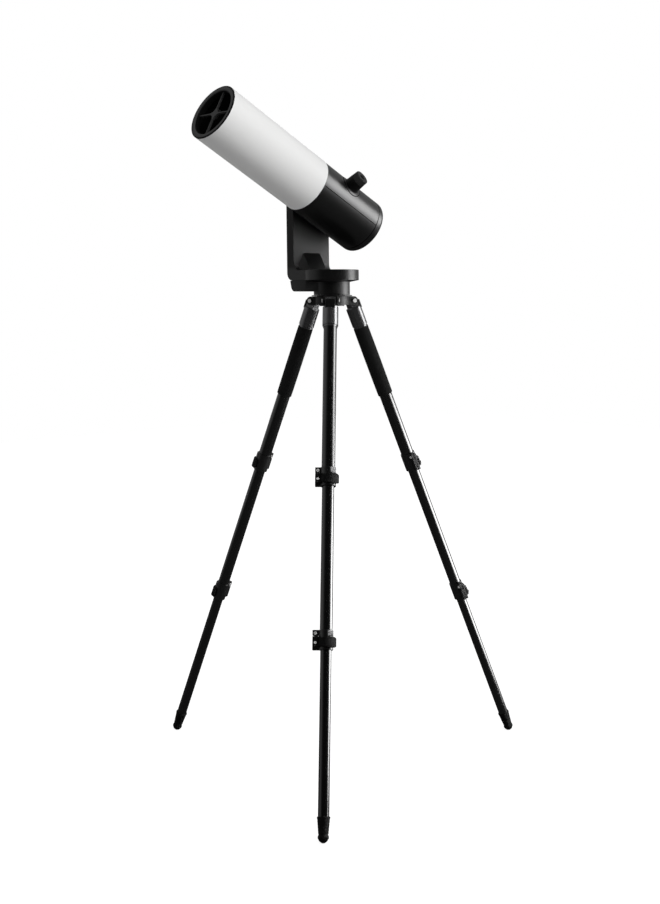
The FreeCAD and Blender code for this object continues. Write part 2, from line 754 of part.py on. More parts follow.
# Camera unit: sensor housing behind the spider hub, at the mirror's focus.
camera_back = vane_back - d.camera_length
piece(joined([
    rod(d.camera_radius, d.camera_length, (camera_back, 0, 0), "x"),
    rod(d.lens_hood_radius, d.lens_hood_length, (camera_back - d.lens_hood_length, 0, 0), "x")],
    "camera"), "camera_unit", tube_place)

# Covers: two half shells around the step of the tube, split low along both sides.
cover_length = d.white_end - d.seam_play * 2 + d.cap_seam
cover_back = -d.cap_seam + d.seam_play
hub_bore_radius = d.hub_disc_radius + d.hub_play
cover_clear = d.tube_radius * 1.1
for label, low, high in (("upper_cover", -d.split_drop + d.seam_play / 2, cover_clear),
                         ("lower_cover", -cover_clear, -d.split_drop - d.seam_play / 2)):
    sleeve = cut(rod(cover_radius, cover_length, (cover_back, 0, 0), "x"),
                 [rod(seat_radius + d.cover_seat, cover_length, (cover_back, 0, 0), "x"),
                  rod(hub_bore_radius, cover_clear, (0, -cover_clear, 0), "y"),
                  moved(rod(d.eye_disc_radius + d.cover_play, cover_clear), eye_turn)])
    half = block((cover_back, -cover_clear, low), (cover_back + cover_length, cover_clear, high))
    piece(shared(sleeve, half, label), label, tube_place)

# Rear cap: rounded end with a spigot inside the tube.
cap_body, cap_spin = turned([
    (0, -d.tube_rear),
    (cover_radius, -d.tube_rear),
    (cover_radius, -d.cap_seam),
    (bore_radius - d.spigot_play, -d.cap_seam),
    (bore_radius - d.spigot_play, -d.cap_seam + d.rear_round),
    (bore_radius - d.shell_wall, -d.cap_seam + d.rear_round),
    (bore_radius - d.shell_wall * 3, -d.tube_rear + d.shell_wall),
    (0, -d.tube_rear + d.shell_wall)], "rear_cap")


def rear_rim(edge):
    """Tell whether an edge is the outer rim of the rear cap."""
    curve = edge.Curve
    return (hasattr(curve, "Radius") and abs(curve.Radius - float(cover_radius)) < 0.1
            and abs(edge.CenterOfMass.z + float(d.tube_rear)) < 0.1)


rounded(cap_body, cap_spin, d.rear_round, rear_rim)
piece(cap_body, "rear_cap", tube_place.multiply(tilt((0, 1, 0), 90)))

# Mirror cell and primary mirror, across the tube behind the pivot.
mirror_radius = bore_radius - d.mirror_margin
mirror_back = -d.mirror_distance - d.mirror_thickness
mirror_sag = mirror_radius * mirror_radius / (d.mirror_curve * 2)
piece(cut(rod(mirror_radius, d.mirror_thickness, (mirror_back, 0, 0), "x"),
          [ball(d.mirror_curve, (d.mirror_curve - d.mirror_distance - mirror_sag, 0, 0))], "mirror"),
      "primary_mirror", tube_place)
cell_back = mirror_back - d.cell_thickness
cell_bore = mirror_radius + d.spigot_play
piece(cut(joined([
    rod(bore_radius - d.spigot_play, d.cell_thickness, (cell_back, 0, 0), "x"),
    rod(cell_bore + d.cell_lip, d.cell_thickness + d.cell_lip_height, (cell_back, 0, 0), "x")]),
    [rod(cell_bore, d.cell_lip_height, (mirror_back, 0, 0), "x"),
     rod(mirror_radius / 3, d.cell_thickness, (cell_back, 0, 0), "x")], "cell"),
    "mirror_cell", tube_place)

# Altitude hub: saddle on the tube, shaft through the arm's bearing, and the altitude wheel.
hub_face = -arm_inner + d.hub_play
saddle = cut(rod(d.hub_disc_radius, arm_inner - d.hub_play, (0, hub_face, 0), "y"),
             [rod(seat_radius, d.hub_disc_radius * 2, (-d.hub_disc_radius, 0, 0), "x")])
shaft = rod(d.altitude_bearing_inner, hub_face - altitude_gear_end + d.hub_play,
            (0, altitude_gear_end - d.hub_play, 0), "y")
wheel = toothed(d.altitude_teeth, d.altitude_gear_width)
wheel.Placement = tilt((1, 0, 0), 90, (0, altitude_gear_face, 0)).multiply(
    tilt((0, 0, 1), -90 - float(d.altitude_angle)))
saddle_half = block((-d.hub_disc_radius, hub_face, -d.hub_disc_radius),
                    (d.hub_disc_radius, -seat_radius / 2, d.hub_disc_radius))
piece(joined([shared(saddle, saddle_half), shaft, wheel], "hub"), "altitude_hub", tube_place)

# Eyepiece: skirted barrel on a saddle disc flush with the cover, lens and turning eyecup.
skirt_top = d.tube_radius + d.eye_skirt_top
barrel_top = d.tube_radius + d.eye_barrel_top
eye_end = d.tube_radius + d.eye_top
neck_top = barrel_top + d.eye_neck_length
cover_round = rod(cover_radius, d.tube_radius * 2, (-d.tube_radius, 0, 0), "x")
shell_round = rod(seat_radius, d.tube_radius * 2, (-d.tube_radius, 0, 0), "x")
base_disc = shared(rod(d.eye_disc_radius, d.tube_radius / 2, (0, 0, d.tube_radius * 0.6)), cover_round)
skirt_base = d.tube_radius - d.eye_skirt_top * 0.8
skirt = taper(d.eye_skirt_radius, d.eye_barrel_radius, skirt_top - skirt_base, (0, 0, skirt_base))
barrel = rod(d.eye_barrel_radius, barrel_top - skirt_top, (0, 0, skirt_top))
neck = rod(d.eye_neck_radius, neck_top - barrel_top, (0, 0, barrel_top))
lens_base = neck_top - d.eye_lens_thickness
lens_radius = d.eye_bore_radius + (d.eye_neck_radius - d.eye_bore_radius) / 2
barrel_bore = rod(d.eye_bore_radius, neck_top, (0, 0, 0))
lens_seat = rod(lens_radius, d.eye_lens_thickness, (0, 0, lens_base))
piece(cut(joined([base_disc, skirt, barrel, neck]), [shell_round, barrel_bore, lens_seat], "barrel"),
      "eyepiece_barrel", eye_place)
piece(rod(lens_radius - d.slide_play, d.eye_lens_thickness, (0, 0, lens_base)), "eye_lens", eye_place)
cup_base = barrel_top + d.cover_play
eyecup, cup_spin = turned([
    (d.eye_neck_radius + d.slide_play, cup_base),
    (d.eye_barrel_radius, cup_base),
    (d.eye_rim_radius, eye_end - d.eye_chamfer),
    (d.eye_rim_radius - d.eye_chamfer, eye_end),
    (d.eye_hole_radius + d.eye_chamfer, eye_end),
    (d.eye_hole_radius, eye_end - d.eye_chamfer),
    (d.eye_hole_radius, neck_top + d.eye_chamfer * 2),
    (d.eye_neck_radius + d.slide_play, neck_top + d.cover_play)], "eyecup")
piece(eyecup, "eyecup", eye_place)


# Legs: drawn hanging straight down from the hinge, outer side towards +X, then leaned and turned.
def leg_tube(radius, first, last, label):
    """Hollow leg tube between two distances from the hinge."""
    return cut(rod(radius, last - first, (0, 0, -last)),
               [rod(radius - d.leg_wall, last - first, (0, 0, -last))], label)


def leg_cap(label):
    """Leg top: neck in the bracket, collar over the tube, guide of the stop tab, inner recess."""
    neck_half = d.neck_width / 2
    eye = rod(d.lug_radius, d.neck_width, (0, -neck_half, 0), "y")
    neck = block((-d.lug_radius, -neck_half, -d.cap_top - d.hinge_play), (d.lug_radius, neck_half, 0))
    collar = rod(d.cap_radius, d.cap_shoulder - d.cap_top, (0, 0, -d.cap_shoulder))
    ring = rod(d.cap_ring_radius, d.cap_bottom - d.cap_shoulder, (0, 0, -d.cap_bottom))
    socket = rod(d.upper_leg_radius, d.socket_depth, (0, 0, -d.cap_bottom))
    pin_hole = rod(d.pin_radius + d.slide_play, d.neck_width, (0, -neck_half, 0), "y")
    tab_half = d.tab_width / 2 + d.hinge_play
    tab_seat = block((d.lug_radius, -tab_half, -d.tab_bottom - d.hinge_play),
                     (d.cap_radius, tab_half, -d.cap_top + d.hinge_play))
    guide_half = d.stem_width / 2 + d.slide_play
    guide = block((d.lug_radius - d.stem_length, -guide_half, -d.cap_top - guide_half),
                  (d.cap_radius, guide_half, -d.cap_top + guide_half))
    recess_face = -d.cap_radius + d.recess_depth
    recess_foot = -d.cap_top - d.recess_length + d.recess_width / 2
    recess = joined([
        block((-d.cap_radius, -d.recess_width / 2, recess_foot),
              (recess_face, d.recess_width / 2, -d.cap_top)),
        rod(d.recess_width / 2, d.recess_depth, (-d.cap_radius, 0, recess_foot), "x")])
    return cut(joined([eye, neck, collar, ring]), [socket, pin_hole, tab_seat, guide, recess], label)


def stop_tab(label):
    """Angle stop: outer block with a guided stem."""
    outer = d.lug_radius + d.hinge_play
    half = d.tab_width / 2
    face = block((outer, -half, -d.tab_bottom), (outer + d.tab_depth, half, -d.tab_top))
    stem_half = d.stem_width / 2
    stem = block((d.lug_radius - d.stem_length + d.slide_play, -stem_half, -d.cap_top - stem_half),
                 (outer, stem_half, -d.cap_top + stem_half))
    return joined([face, stem], label)


def clamp(outer, inner, station, label):
    """Flip-lock collar: split ears on one side, lugs and pin for the lever."""
    low = -station - d.clamp_length / 2
    high = -station + d.clamp_length / 2
    radius = outer + d.collar_wall
    half = d.ear_width / 2
    collar = rod(radius, d.clamp_length, (0, 0, low))
    upper_ear = block((-half, -d.ear_reach, high - d.upper_ear_length), (half, -inner, high))
    lower_ear = block((-half, -d.ear_reach, low), (half, -inner, low + d.lower_ear_length))
    knuckle_low = low + d.lower_ear_length - d.lug_length - d.lever_gap - d.knuckle_length
    pin_spot = (d.lever_pin_offset, -d.lever_pin_reach)
    lugs = []
    for lug_low in (knuckle_low - d.lever_gap - d.lug_length, low + d.lower_ear_length - d.lug_length):
        lugs.append(rod(d.knuckle_radius, d.lug_length, pin_spot + (lug_low,)))
        lugs.append(block((half / 2, pin_spot[1] - d.knuckle_radius, lug_low),
                          (pin_spot[0], pin_spot[1] + d.knuckle_radius, lug_low + d.lug_length)))
    pin = rod(d.lever_pin_radius, d.knuckle_length + d.lug_length * 2,
              pin_spot + (knuckle_low - d.lug_length,))
    bolt = rod(d.bolt_head_radius, d.bolt_head_length,
               (half, -d.ear_reach + d.knuckle_radius, high - d.upper_ear_length / 2), "x")
    bores = [rod(inner + d.slide_play, d.clamp_length, (0, 0, low)),
             rod(outer, d.clamp_length / 2, (0, 0, -station)),
             block((-d.split_width / 2, -d.ear_reach, low), (d.split_width / 2, 0, high))]
    return cut(joined([collar, upper_ear, lower_ear, pin, bolt] + lugs), bores, label)


def lever(outer, station, label):
    """Flip lever: knuckle on the pin and a band that wraps round the outer side of the collar."""
    low = -station - d.clamp_length / 2
    knuckle_low = low + d.lower_ear_length - d.lug_length - d.lever_gap - d.knuckle_length
    band_low = low + (d.clamp_length - d.lever_height) / 2 - d.lever_gap * 5
    inside = outer + d.collar_wall + d.lever_gap
    outside = inside + d.lever_thickness
    pin_spot = (d.lever_pin_offset, -d.lever_pin_reach)
    knuckle = rod(d.knuckle_radius, d.knuckle_length, pin_spot + (knuckle_low,))
    web = rod(outside, d.knuckle_length, (0, 0, knuckle_low), "z", 20, -62)
    band = rod(outside, d.lever_height, (0, 0, band_low), "z", 122, -44)
    tip_angle = math.radians(78)
    tip_reach = outside - d.lever_tip_radius / 2
    tip = rod(d.lever_tip_radius, d.lever_height * 0.8,
              (tip_reach * math.cos(tip_angle), tip_reach * math.sin(tip_angle),
               band_low + d.lever_height * 0.1))
    return cut(joined([knuckle, web, band, tip]),
               [rod(inside, d.clamp_length * 2, (0, 0, low - d.clamp_length / 2)),
                rod(d.lever_pin_radius + d.slide_play, d.clamp_length, pin_spot + (low,))], label)


def foot(label):
    """Tapered sleeve on the lower tube and a round rubber end."""
    round_centre = d.foot_round - d.leg_length
    neck_low = round_centre + d.foot_neck_length
    sleeve = taper(d.foot_neck_radius, d.foot_sleeve_radius, d.foot_sleeve_length, (0, 0, neck_low))
    flare = taper(d.foot_round, d.foot_neck_radius, d.foot_neck_length, (0, 0, round_centre))
    end = ball(d.foot_round, (0, 0, round_centre))
    socket = rod(d.lower_leg_radius, d.foot_socket, (0, 0, neck_low + d.foot_sleeve_length - d.foot_socket))
    return cut(joined([sleeve, flare, end]), [socket], label)


foot_top = d.leg_length - d.foot_round - d.foot_neck_length - d.foot_sleeve_length
for side, turn in LEGS.items():
    lean_place = tilt((0, 1, 0), -float(d.leg_angle), (d.hinge_radius, 0, hinge_height))
    place = tilt((0, 0, 1), float(d.front_leg_bearing) + turn).multiply(lean_place)
    lead = "leg_%s_" % side
    piece(leg_cap("cap"), lead + "cap", place)
    piece(stop_tab("tab"), lead + "stop_tab", place)
    piece(leg_tube(d.upper_leg_radius, d.cap_bottom - d.socket_depth, d.upper_clamp_distance, "tube"),
          lead + "upper_tube", place)
    piece(clamp(d.upper_leg_radius, d.middle_leg_radius, d.upper_clamp_distance, "clamp"),
          lead + "upper_clamp", place)
    piece(lever(d.upper_leg_radius, d.upper_clamp_distance, "lever"), lead + "upper_lever", place)
    piece(leg_tube(d.middle_leg_radius, d.upper_clamp_distance - d.overlap_length, d.lower_clamp_distance,
                   "tube"), lead + "middle_tube", place)
    piece(clamp(d.middle_leg_radius, d.lower_leg_radius, d.lower_clamp_distance, "clamp"),
          lead + "lower_clamp", place)
    piece(lever(d.middle_leg_radius, d.lower_clamp_distance, "lever"), lead + "lower_lever", place)
    piece(leg_tube(d.lower_leg_radius, d.lower_clamp_distance - d.overlap_length, foot_top + d.foot_socket,
                   "tube"), lead + "lower_tube", place)
    piece(foot("foot"), lead + "foot", place)
    if side != "front":
        grip = cut(rod(d.grip_radius, d.grip_length, (0, 0, -d.cap_bottom - d.grip_length - d.grip_play)),
                   [rod(d.upper_leg_radius, d.grip_length,
                        (0, 0, -d.cap_bottom - d.grip_length - d.grip_play))], "grip")
        piece(grip, lead + "grip", place)

doc.recompute()
for item in doc.Objects:
    if "Invalid" in item.State or "Error" in item.State:
        raise RuntimeError("%s (%s) failed: %s" % (item.Name, item.Label, item.State))
for item in nodes:
    if item.Shape.isNull() or not item.Shape.isValid():
        raise RuntimeError("%s has no valid shape" % item.Label)
    item.Shape.exportStep("parts/%s.step" % item.Label)
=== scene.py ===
import json
import math

import bmesh
import bpy
from mathutils import Matrix, Vector

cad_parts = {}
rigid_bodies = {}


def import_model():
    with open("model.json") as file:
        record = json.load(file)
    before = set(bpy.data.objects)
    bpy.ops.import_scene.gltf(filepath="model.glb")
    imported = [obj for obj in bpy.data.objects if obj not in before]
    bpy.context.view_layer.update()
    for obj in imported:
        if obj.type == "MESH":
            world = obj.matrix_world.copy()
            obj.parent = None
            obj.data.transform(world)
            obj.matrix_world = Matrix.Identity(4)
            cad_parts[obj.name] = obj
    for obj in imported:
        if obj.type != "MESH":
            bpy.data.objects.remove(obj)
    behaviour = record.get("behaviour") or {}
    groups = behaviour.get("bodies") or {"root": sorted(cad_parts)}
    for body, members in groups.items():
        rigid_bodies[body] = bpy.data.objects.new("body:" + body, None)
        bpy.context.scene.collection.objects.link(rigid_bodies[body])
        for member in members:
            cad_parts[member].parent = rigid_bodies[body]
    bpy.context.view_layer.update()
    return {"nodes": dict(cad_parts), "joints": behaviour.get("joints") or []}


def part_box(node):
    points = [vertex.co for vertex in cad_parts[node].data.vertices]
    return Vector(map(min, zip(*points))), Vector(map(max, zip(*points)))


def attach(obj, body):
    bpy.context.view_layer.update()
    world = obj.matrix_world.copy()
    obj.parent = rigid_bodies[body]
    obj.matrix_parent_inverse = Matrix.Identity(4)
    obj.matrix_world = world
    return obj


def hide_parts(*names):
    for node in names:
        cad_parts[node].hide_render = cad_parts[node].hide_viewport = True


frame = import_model()
joints = {joint["name"]: joint for joint in frame["joints"]}
scene = bpy.context.scene
scene.view_settings.view_transform = "Standard"
mm = 0.001

# ---------------------------------------------------------------------------------------------
# Studio: a wide pale floor and a white surround that is dim behind the camera. A key softbox lights
# the matt surfaces from the right, a weak one fills from the left, and three more on the right are
# seen only as shine.

TO_CAMERA = Vector((0.6646, 0.7472, 0.0))
TO_RIGHT = Vector((-0.7472, 0.6646, 0.0))
PIVOT = Vector(joints["altitude"]["pos_m"])

CAMERA_LENS = 54.151
CAMERA_SHIFT = (-0.051, -0.0492)
CAMERA_PLACE = (2.5067, 2.8261, 1.2949)
CAMERA_TURN = (85.662, 0.484, 136.574)

camera = bpy.data.objects.new("camera", bpy.data.cameras.new("camera"))
camera.data.lens = CAMERA_LENS
camera.data.shift_x, camera.data.shift_y = CAMERA_SHIFT
camera.location = CAMERA_PLACE
camera.rotation_euler = [math.radians(angle) for angle in CAMERA_TURN]
scene.collection.objects.link(camera)
scene.camera = camera


def add(tree, kind, inputs=None, **options):
    """Add a shader node, set its options, and feed its inputs by name or by number."""
    made = tree.nodes.new("ShaderNode" + kind)
    for option, value in options.items():
        setattr(made, option, value)
    for name, value in (inputs or {}).items():
        if isinstance(value, bpy.types.NodeSocket):
            tree.links.new(value, made.inputs[name])
        else:
            made.inputs[name].default_value = value
    return made


def node_tree(owner):
    """Switch an owner to nodes and return its emptied tree."""
    owner.use_nodes = True
    owner.node_tree.nodes.clear()
    return owner.node_tree


def seen_directly(tree):
    """Return a mask of rays from the camera, from gloss and through glass, and the path node itself."""
    path = add(tree, "LightPath")
    shine = add(tree, "Math", {0: path.outputs["Is Camera Ray"], 1: path.outputs["Is Glossy Ray"]},
                operation="MAXIMUM")
    return add(tree, "Math", {0: shine.outputs[0], 1: path.outputs["Is Transmission Ray"]},
               operation="MAXIMUM").outputs[0], path


def blended(tree, share, first, second):
    """Mix two colours, or a colour and a socket, by a share."""
    colours = [c if isinstance(c, bpy.types.NodeSocket) else (*c, 1) for c in (first, second)]
    return add(tree, "Mix", {0: share, 6: colours[0], 7: colours[1]}, data_type="RGBA").outputs[2]


SURROUND, WASH = 0.38, 0.65
BEHIND, DIM_SIDE = 0.32, 0.006
DIM_STARTS, DIM_ENDS = -0.30, 0.46
DIM_TURN = math.radians(22)
DIM_AXIS = TO_CAMERA * math.cos(DIM_TURN) + TO_RIGHT * math.sin(DIM_TURN)

# Surround: plain white to the eye. Matt surfaces see it brighter on the left, and shiny ones see it
# dim on the camera's side.
surround = bpy.data.worlds.new("surround")
scene.world = surround
tree = node_tree(surround)
direct, path = seen_directly(tree)
ahead = add(tree, "VectorMath", {0: add(tree, "TexCoord").outputs["Generated"], 1: DIM_AXIS},
            operation="DOT_PRODUCT")
sides = add(tree, "MapRange", {"Value": ahead.outputs["Value"], "From Min": DIM_STARTS,
                               "From Max": DIM_ENDS, "To Min": BEHIND, "To Max": DIM_SIDE},
            interpolation_type="SMOOTHSTEP")
gloss_level = add(tree, "Mix", {0: path.outputs["Is Glossy Ray"], 2: 1.0, 3: sides.outputs[0]})
leftward = add(tree, "VectorMath", {0: add(tree, "TexCoord").outputs["Generated"], 1: -TO_RIGHT},
               operation="DOT_PRODUCT")
wash = add(tree, "MapRange", {"Value": leftward.outputs["Value"], "From Min": -1.0, "From Max": 1.0,
                              "To Min": SURROUND * (1 - WASH), "To Max": SURROUND * (1 + WASH)})
level = add(tree, "Mix", {0: direct, 2: wash.outputs[0], 3: gloss_level.outputs[0]})
glow = add(tree, "Background", {"Color": (1, 1, 1, 1), "Strength": level.outputs[0]})
add(tree, "OutputWorld", {"Surface": glow.outputs[0]})

FLOOR_HALF = 9.0
FLOOR_TONES = ((0.44, 0.44, 0.44), (0.46, 0.46, 0.46))
SHINE_TONE, SHINE_SHARE = (0.05, 0.05, 0.05), 0.96
LIFT_NEAR, LIFT_FAR = 0.84, 0.93
LIFT_STARTS, LIFT_ENDS = 0.9, 2.6

# Floor: pale and matt, lifted to the white of the surround away from the stand, and dark in shine.
floor_mesh = bpy.data.meshes.new("floor")
bm = bmesh.new()
bmesh.ops.create_grid(bm, x_segments=1, y_segments=1, size=FLOOR_HALF)
bm.to_mesh(floor_mesh)
bm.free()
floor = bpy.data.objects.new("floor", floor_mesh)
scene.collection.objects.link(floor)
floor_paint = bpy.data.materials.new("pale_floor")
tree = node_tree(floor_paint)
path = add(tree, "LightPath")
fine = add(tree, "TexNoise", {"Vector": add(tree, "TexCoord").outputs["Object"], "Scale": 60.0,
                              "Detail": 3.0})
pale = blended(tree, fine.outputs["Fac"], *FLOOR_TONES)
away = add(tree, "VectorMath", {0: add(tree, "TexCoord").outputs["Object"]}, operation="LENGTH")
under = add(tree, "Math", {0: path.outputs["Is Glossy Ray"], 1: SHINE_SHARE}, operation="MULTIPLY")
pale = blended(tree, under.outputs[0], pale, SHINE_TONE)
rise = add(tree, "MapRange", {"Value": away.outputs["Value"], "From Min": LIFT_STARTS,
                              "From Max": LIFT_ENDS, "To Min": LIFT_NEAR, "To Max": LIFT_FAR})
lift = add(tree, "Mix", {0: path.outputs["Is Camera Ray"], 2: 0.0, 3: rise.outputs[0]})
surface = add(tree, "BsdfPrincipled", {"Base Color": pale, "Roughness": 0.9,
                                       "Specular IOR Level": 0.1, "Emission Color": (1, 1, 1, 1),
                                       "Emission Strength": lift.outputs[0]})
add(tree, "OutputMaterial", {"Surface": surface.outputs[0]})
floor_mesh.materials.append(floor_paint)


def in_studio(right, forward, up):
    """A place by how far it is to the camera's right, towards the camera and up."""
    return TO_RIGHT * right + TO_CAMERA * forward + Vector((0, 0, up))


def soft_lamp(name, place, aim, width, height, watts, diffuse=True, glossy=True):
    """Hang a rectangular softbox that faces a point."""
    lamp = bpy.data.lights.new(name, "AREA")
    lamp.shape = "RECTANGLE"
    lamp.size, lamp.size_y, lamp.energy = width, height, watts
    hung = bpy.data.objects.new(name, lamp)
    hung.location = place
    hung.rotation_euler = (aim - place).to_track_quat("-Z", "Y").to_euler()
    hung.visible_camera = False
    hung.visible_diffuse = diffuse
    hung.visible_glossy = glossy
    scene.collection.objects.link(hung)
    return hung


soft_lamp("high_softbox", PIVOT + in_studio(2.2, -0.1, 0.48), PIVOT, width=1.2, height=1.1, watts=25,
          diffuse=False)
soft_lamp("key", PIVOT + in_studio(1.6, 1.9, 1.2), PIVOT, width=1.6, height=1.6, watts=60,
          glossy=False)
soft_lamp("right_softbox", in_studio(2.5, -0.25, 1.15), in_studio(0, 0, 0.95), width=2.2, height=2.2,
          watts=6, diffuse=False)
glint = soft_lamp("right_glint", in_studio(2.3, -0.2, 0.66), in_studio(0, 0, 0.6), width=1.5,
                  height=1.3, watts=62, diffuse=False)
soft_lamp("left_fill", in_studio(-2.8, -0.6, 0.7), PIVOT, width=1.0, height=2.0, watts=9,
          glossy=False)

# ---------------------------------------------------------------------------------------------
# Tripod head: cast hub, thin plate and three forked brackets, coated satin black.
# Steel pins with domed, socketed heads hold the legs, and a fluted knob holds the mount.


def effect(name, inputs, outputs):
    """Start a node group with named float inputs and outputs; return it with its two end nodes."""
    group = bpy.data.node_groups.new(name, "ShaderNodeTree")
    for label, value in inputs.items():
        socket = group.interface.new_socket(label, in_out="INPUT", socket_type="NodeSocketFloat")
        socket.default_value = value
    for label in outputs:
        group.interface.new_socket(label, in_out="OUTPUT", socket_type="NodeSocketFloat")
    return group, group.nodes.new("NodeGroupInput"), group.nodes.new("NodeGroupOutput")


# Coating grain: fine orange peel as height, and broad uneven tone.
coating_grain, given, result = effect("coating_grain", {"Scale": 900.0}, ["Height", "Tone"])
spot = add(coating_grain, "TexCoord").outputs["Object"]
peel = add(coating_grain, "TexNoise", {"Vector": spot, "Scale": given.outputs["Scale"], "Detail": 4.0,
                                       "Roughness": 0.62})
cells = add(coating_grain, "TexVoronoi", {"Vector": spot, "Scale": given.outputs["Scale"]},
            feature="SMOOTH_F1")
rough_mix = add(coating_grain, "Math", {0: peel.outputs["Fac"], 1: cells.outputs["Distance"]},
                operation="ADD")
broad = add(coating_grain, "TexNoise", {"Vector": spot, "Scale": 7.0, "Detail": 6.0, "Roughness": 0.6})
coating_grain.links.new(rough_mix.outputs[0], result.inputs["Height"])
coating_grain.links.new(broad.outputs["Fac"], result.inputs["Tone"])

# Rubbed edges: 1 on edges that hands and cases touch, broken up by noise.
EDGE_WEAR = 0.9 * mm
rubbed_edges, given, result = effect("rubbed_edges", {"Width": EDGE_WEAR}, ["Mask"])
rounded_normal = add(rubbed_edges, "Bevel", {"Radius": given.outputs["Width"]}, samples=4)
own_normal = add(rubbed_edges, "NewGeometry").outputs["Normal"]
facing = add(rubbed_edges, "VectorMath", {0: rounded_normal.outputs[0], 1: own_normal},
             operation="DOT_PRODUCT")
turned_away = add(rubbed_edges, "MapRange", {"Value": facing.outputs["Value"], "From Min": 0.995,
                                             "From Max": 0.86})
patchy = add(rubbed_edges, "TexNoise", {"Vector": add(rubbed_edges, "TexCoord").outputs["Object"],
                                        "Scale": 55.0, "Detail": 5.0, "Roughness": 0.7})
patches = add(rubbed_edges, "MapRange", {"Value": patchy.outputs["Fac"], "From Min": 0.42,
                                         "From Max": 0.62})
rub = add(rubbed_edges, "Math", {0: turned_away.outputs[0], 1: patches.outputs[0]}, operation="MULTIPLY")
rubbed_edges.links.new(rub.outputs[0], result.inputs["Mask"])


def placed(tree, group, **inputs):
    """Place a node group in a material with its own values."""
    made = tree.nodes.new("ShaderNodeGroup")
    made.node_tree = group
    for name, value in inputs.items():
        made.inputs[name.capitalize()].default_value = value
    return made


def surfaced(tree, height, relief, inputs, distance=0.0002):
    """Close a material with its relief, its shader and its output."""
    if height is not None:
        bump = add(tree, "Bump", {"Height": height, "Strength": relief, "Distance": distance})
        inputs = {**inputs, "Normal": bump.outputs[0]}
    shader = add(tree, "BsdfPrincipled", inputs)
    add(tree, "OutputMaterial", {"Surface": shader.outputs[0]})


def worn_edges(tree, body, bare, wear):
    """Show a paler tone where hands and cases rub the edges."""
    edges = placed(tree, rubbed_edges)
    amount = add(tree, "Math", {0: edges.outputs["Mask"], 1: wear}, operation="MULTIPLY").outputs[0]
    return blended(tree, amount, body, bare)


def coated(name, colour, rough, grain=900.0, relief=0.12, worn=None, wear=0.5, metal=0.0, specular=1.0,
           uneven=0.12):
    """Coating or moulded finish: uneven tone and gloss, fine relief, rubbed edges."""
    material = bpy.data.materials.new(name)
    tree = node_tree(material)
    texture = placed(tree, coating_grain, scale=grain)
    dark = [c * (1 - uneven) for c in colour]
    light = [c * (1 + uneven) for c in colour]
    body = blended(tree, texture.outputs["Tone"], dark, light)
    gloss = add(tree, "MapRange", {"Value": texture.outputs["Tone"], "From Min": 0.3, "From Max": 0.7,
                                   "To Min": rough * 0.88, "To Max": rough * 1.12})
    if worn is not None:
        body = worn_edges(tree, body, worn, wear)
    surfaced(tree, texture.outputs["Height"], relief, {
        "Base Color": body, "Roughness": gloss.outputs[0], "Metallic": metal,
        "Specular IOR Level": specular})
    return material


bright_steel = coated("bright_steel", (0.62, 0.62, 0.63), 0.24, grain=2200.0, relief=0.05, metal=1.0,
                      uneven=0.08)
# Plating: pale and mostly matt, so the heads show white like a glint even where shine sees a dark
# surround: bright metal in part, painted highlight in part.
plated_glint_white = coated("nickel_plate_painted_glint", (0.86, 0.86, 0.85), 0.30, grain=2200.0, relief=0.05, metal=0.25,
                uneven=0.05)
RUBBED = (0.05, 0.05, 0.05)
knob_plastic = coated("knob_plastic", (0.007, 0.007, 0.007), 0.55, grain=1500.0, relief=0.2,
                      worn=RUBBED, wear=0.4)

# Shading by angle for CAD solids: smooth across shallow turns, sharp across steep ones.
SHARP_TURN = 34
shade_by_angle = bpy.data.node_groups.new("shade_by_angle", "GeometryNodeTree")
shade_by_angle.interface.new_socket("Geometry", in_out="INPUT", socket_type="NodeSocketGeometry")
shade_by_angle.interface.new_socket("Geometry", in_out="OUTPUT", socket_type="NodeSocketGeometry")
mesh_in = shade_by_angle.nodes.new("NodeGroupInput")
mesh_out = shade_by_angle.nodes.new("NodeGroupOutput")
all_faces = shade_by_angle.nodes.new("GeometryNodeSetShadeSmooth")
steep_edges = shade_by_angle.nodes.new("GeometryNodeSetShadeSmooth")
steep_edges.domain = "EDGE"
steep_edges.inputs["Shade Smooth"].default_value = False
edge_angle = shade_by_angle.nodes.new("GeometryNodeInputMeshEdgeAngle")
steep = shade_by_angle.nodes.new("FunctionNodeCompare")
steep.inputs[1].default_value = math.radians(SHARP_TURN)
for start, end in ((mesh_in.outputs[0], all_faces.inputs[0]),
                   (all_faces.outputs[0], steep_edges.inputs[0]),
                   (edge_angle.outputs["Unsigned Angle"], steep.inputs[0]),
                   (steep.outputs[0], steep_edges.inputs["Selection"]),
                   (steep_edges.outputs[0], mesh_out.inputs[0])):
    shade_by_angle.links.new(start, end)

WELD_GAP = 0.01 * mm
FLAT_TURN, EDGE_TURN = math.radians(0.5), math.radians(30)


def dress(node, finish, edge):
    """Give a CAD solid its finish, edges rounded by a width, and even shading."""
    solid = frame["nodes"][node]
    solid.data.materials.clear()
    solid.data.materials.append(finish)
    solid.modifiers.new("weld", "WELD").merge_threshold = WELD_GAP
    flat = solid.modifiers.new("flatten", "DECIMATE")
    flat.decimate_type = "DISSOLVE"
    flat.angle_limit = FLAT_TURN
    if edge:
        bevel = solid.modifiers.new("bevel", "BEVEL")
        bevel.width = edge
        bevel.segments = 2
        bevel.limit_method = "ANGLE"
        bevel.angle_limit = EDGE_TURN
        bevel.use_clamp_overlap = True
    solid.modifiers.new("shade", "NODES").node_group = shade_by_angle
    solid.modifiers.new("weigh", "WEIGHTED_NORMAL").keep_sharp = True


head_black = coated("head_coating", (0.004, 0.004, 0.004), 0.5, worn=RUBBED, wear=0.3,
                    specular=0.44)
dress("tripod_head", head_black, 0.6 * mm)
dress("hinge_pins", bright_steel, 0.6 * mm)
dress("fixing_knob", knob_plastic, 0.8 * mm)


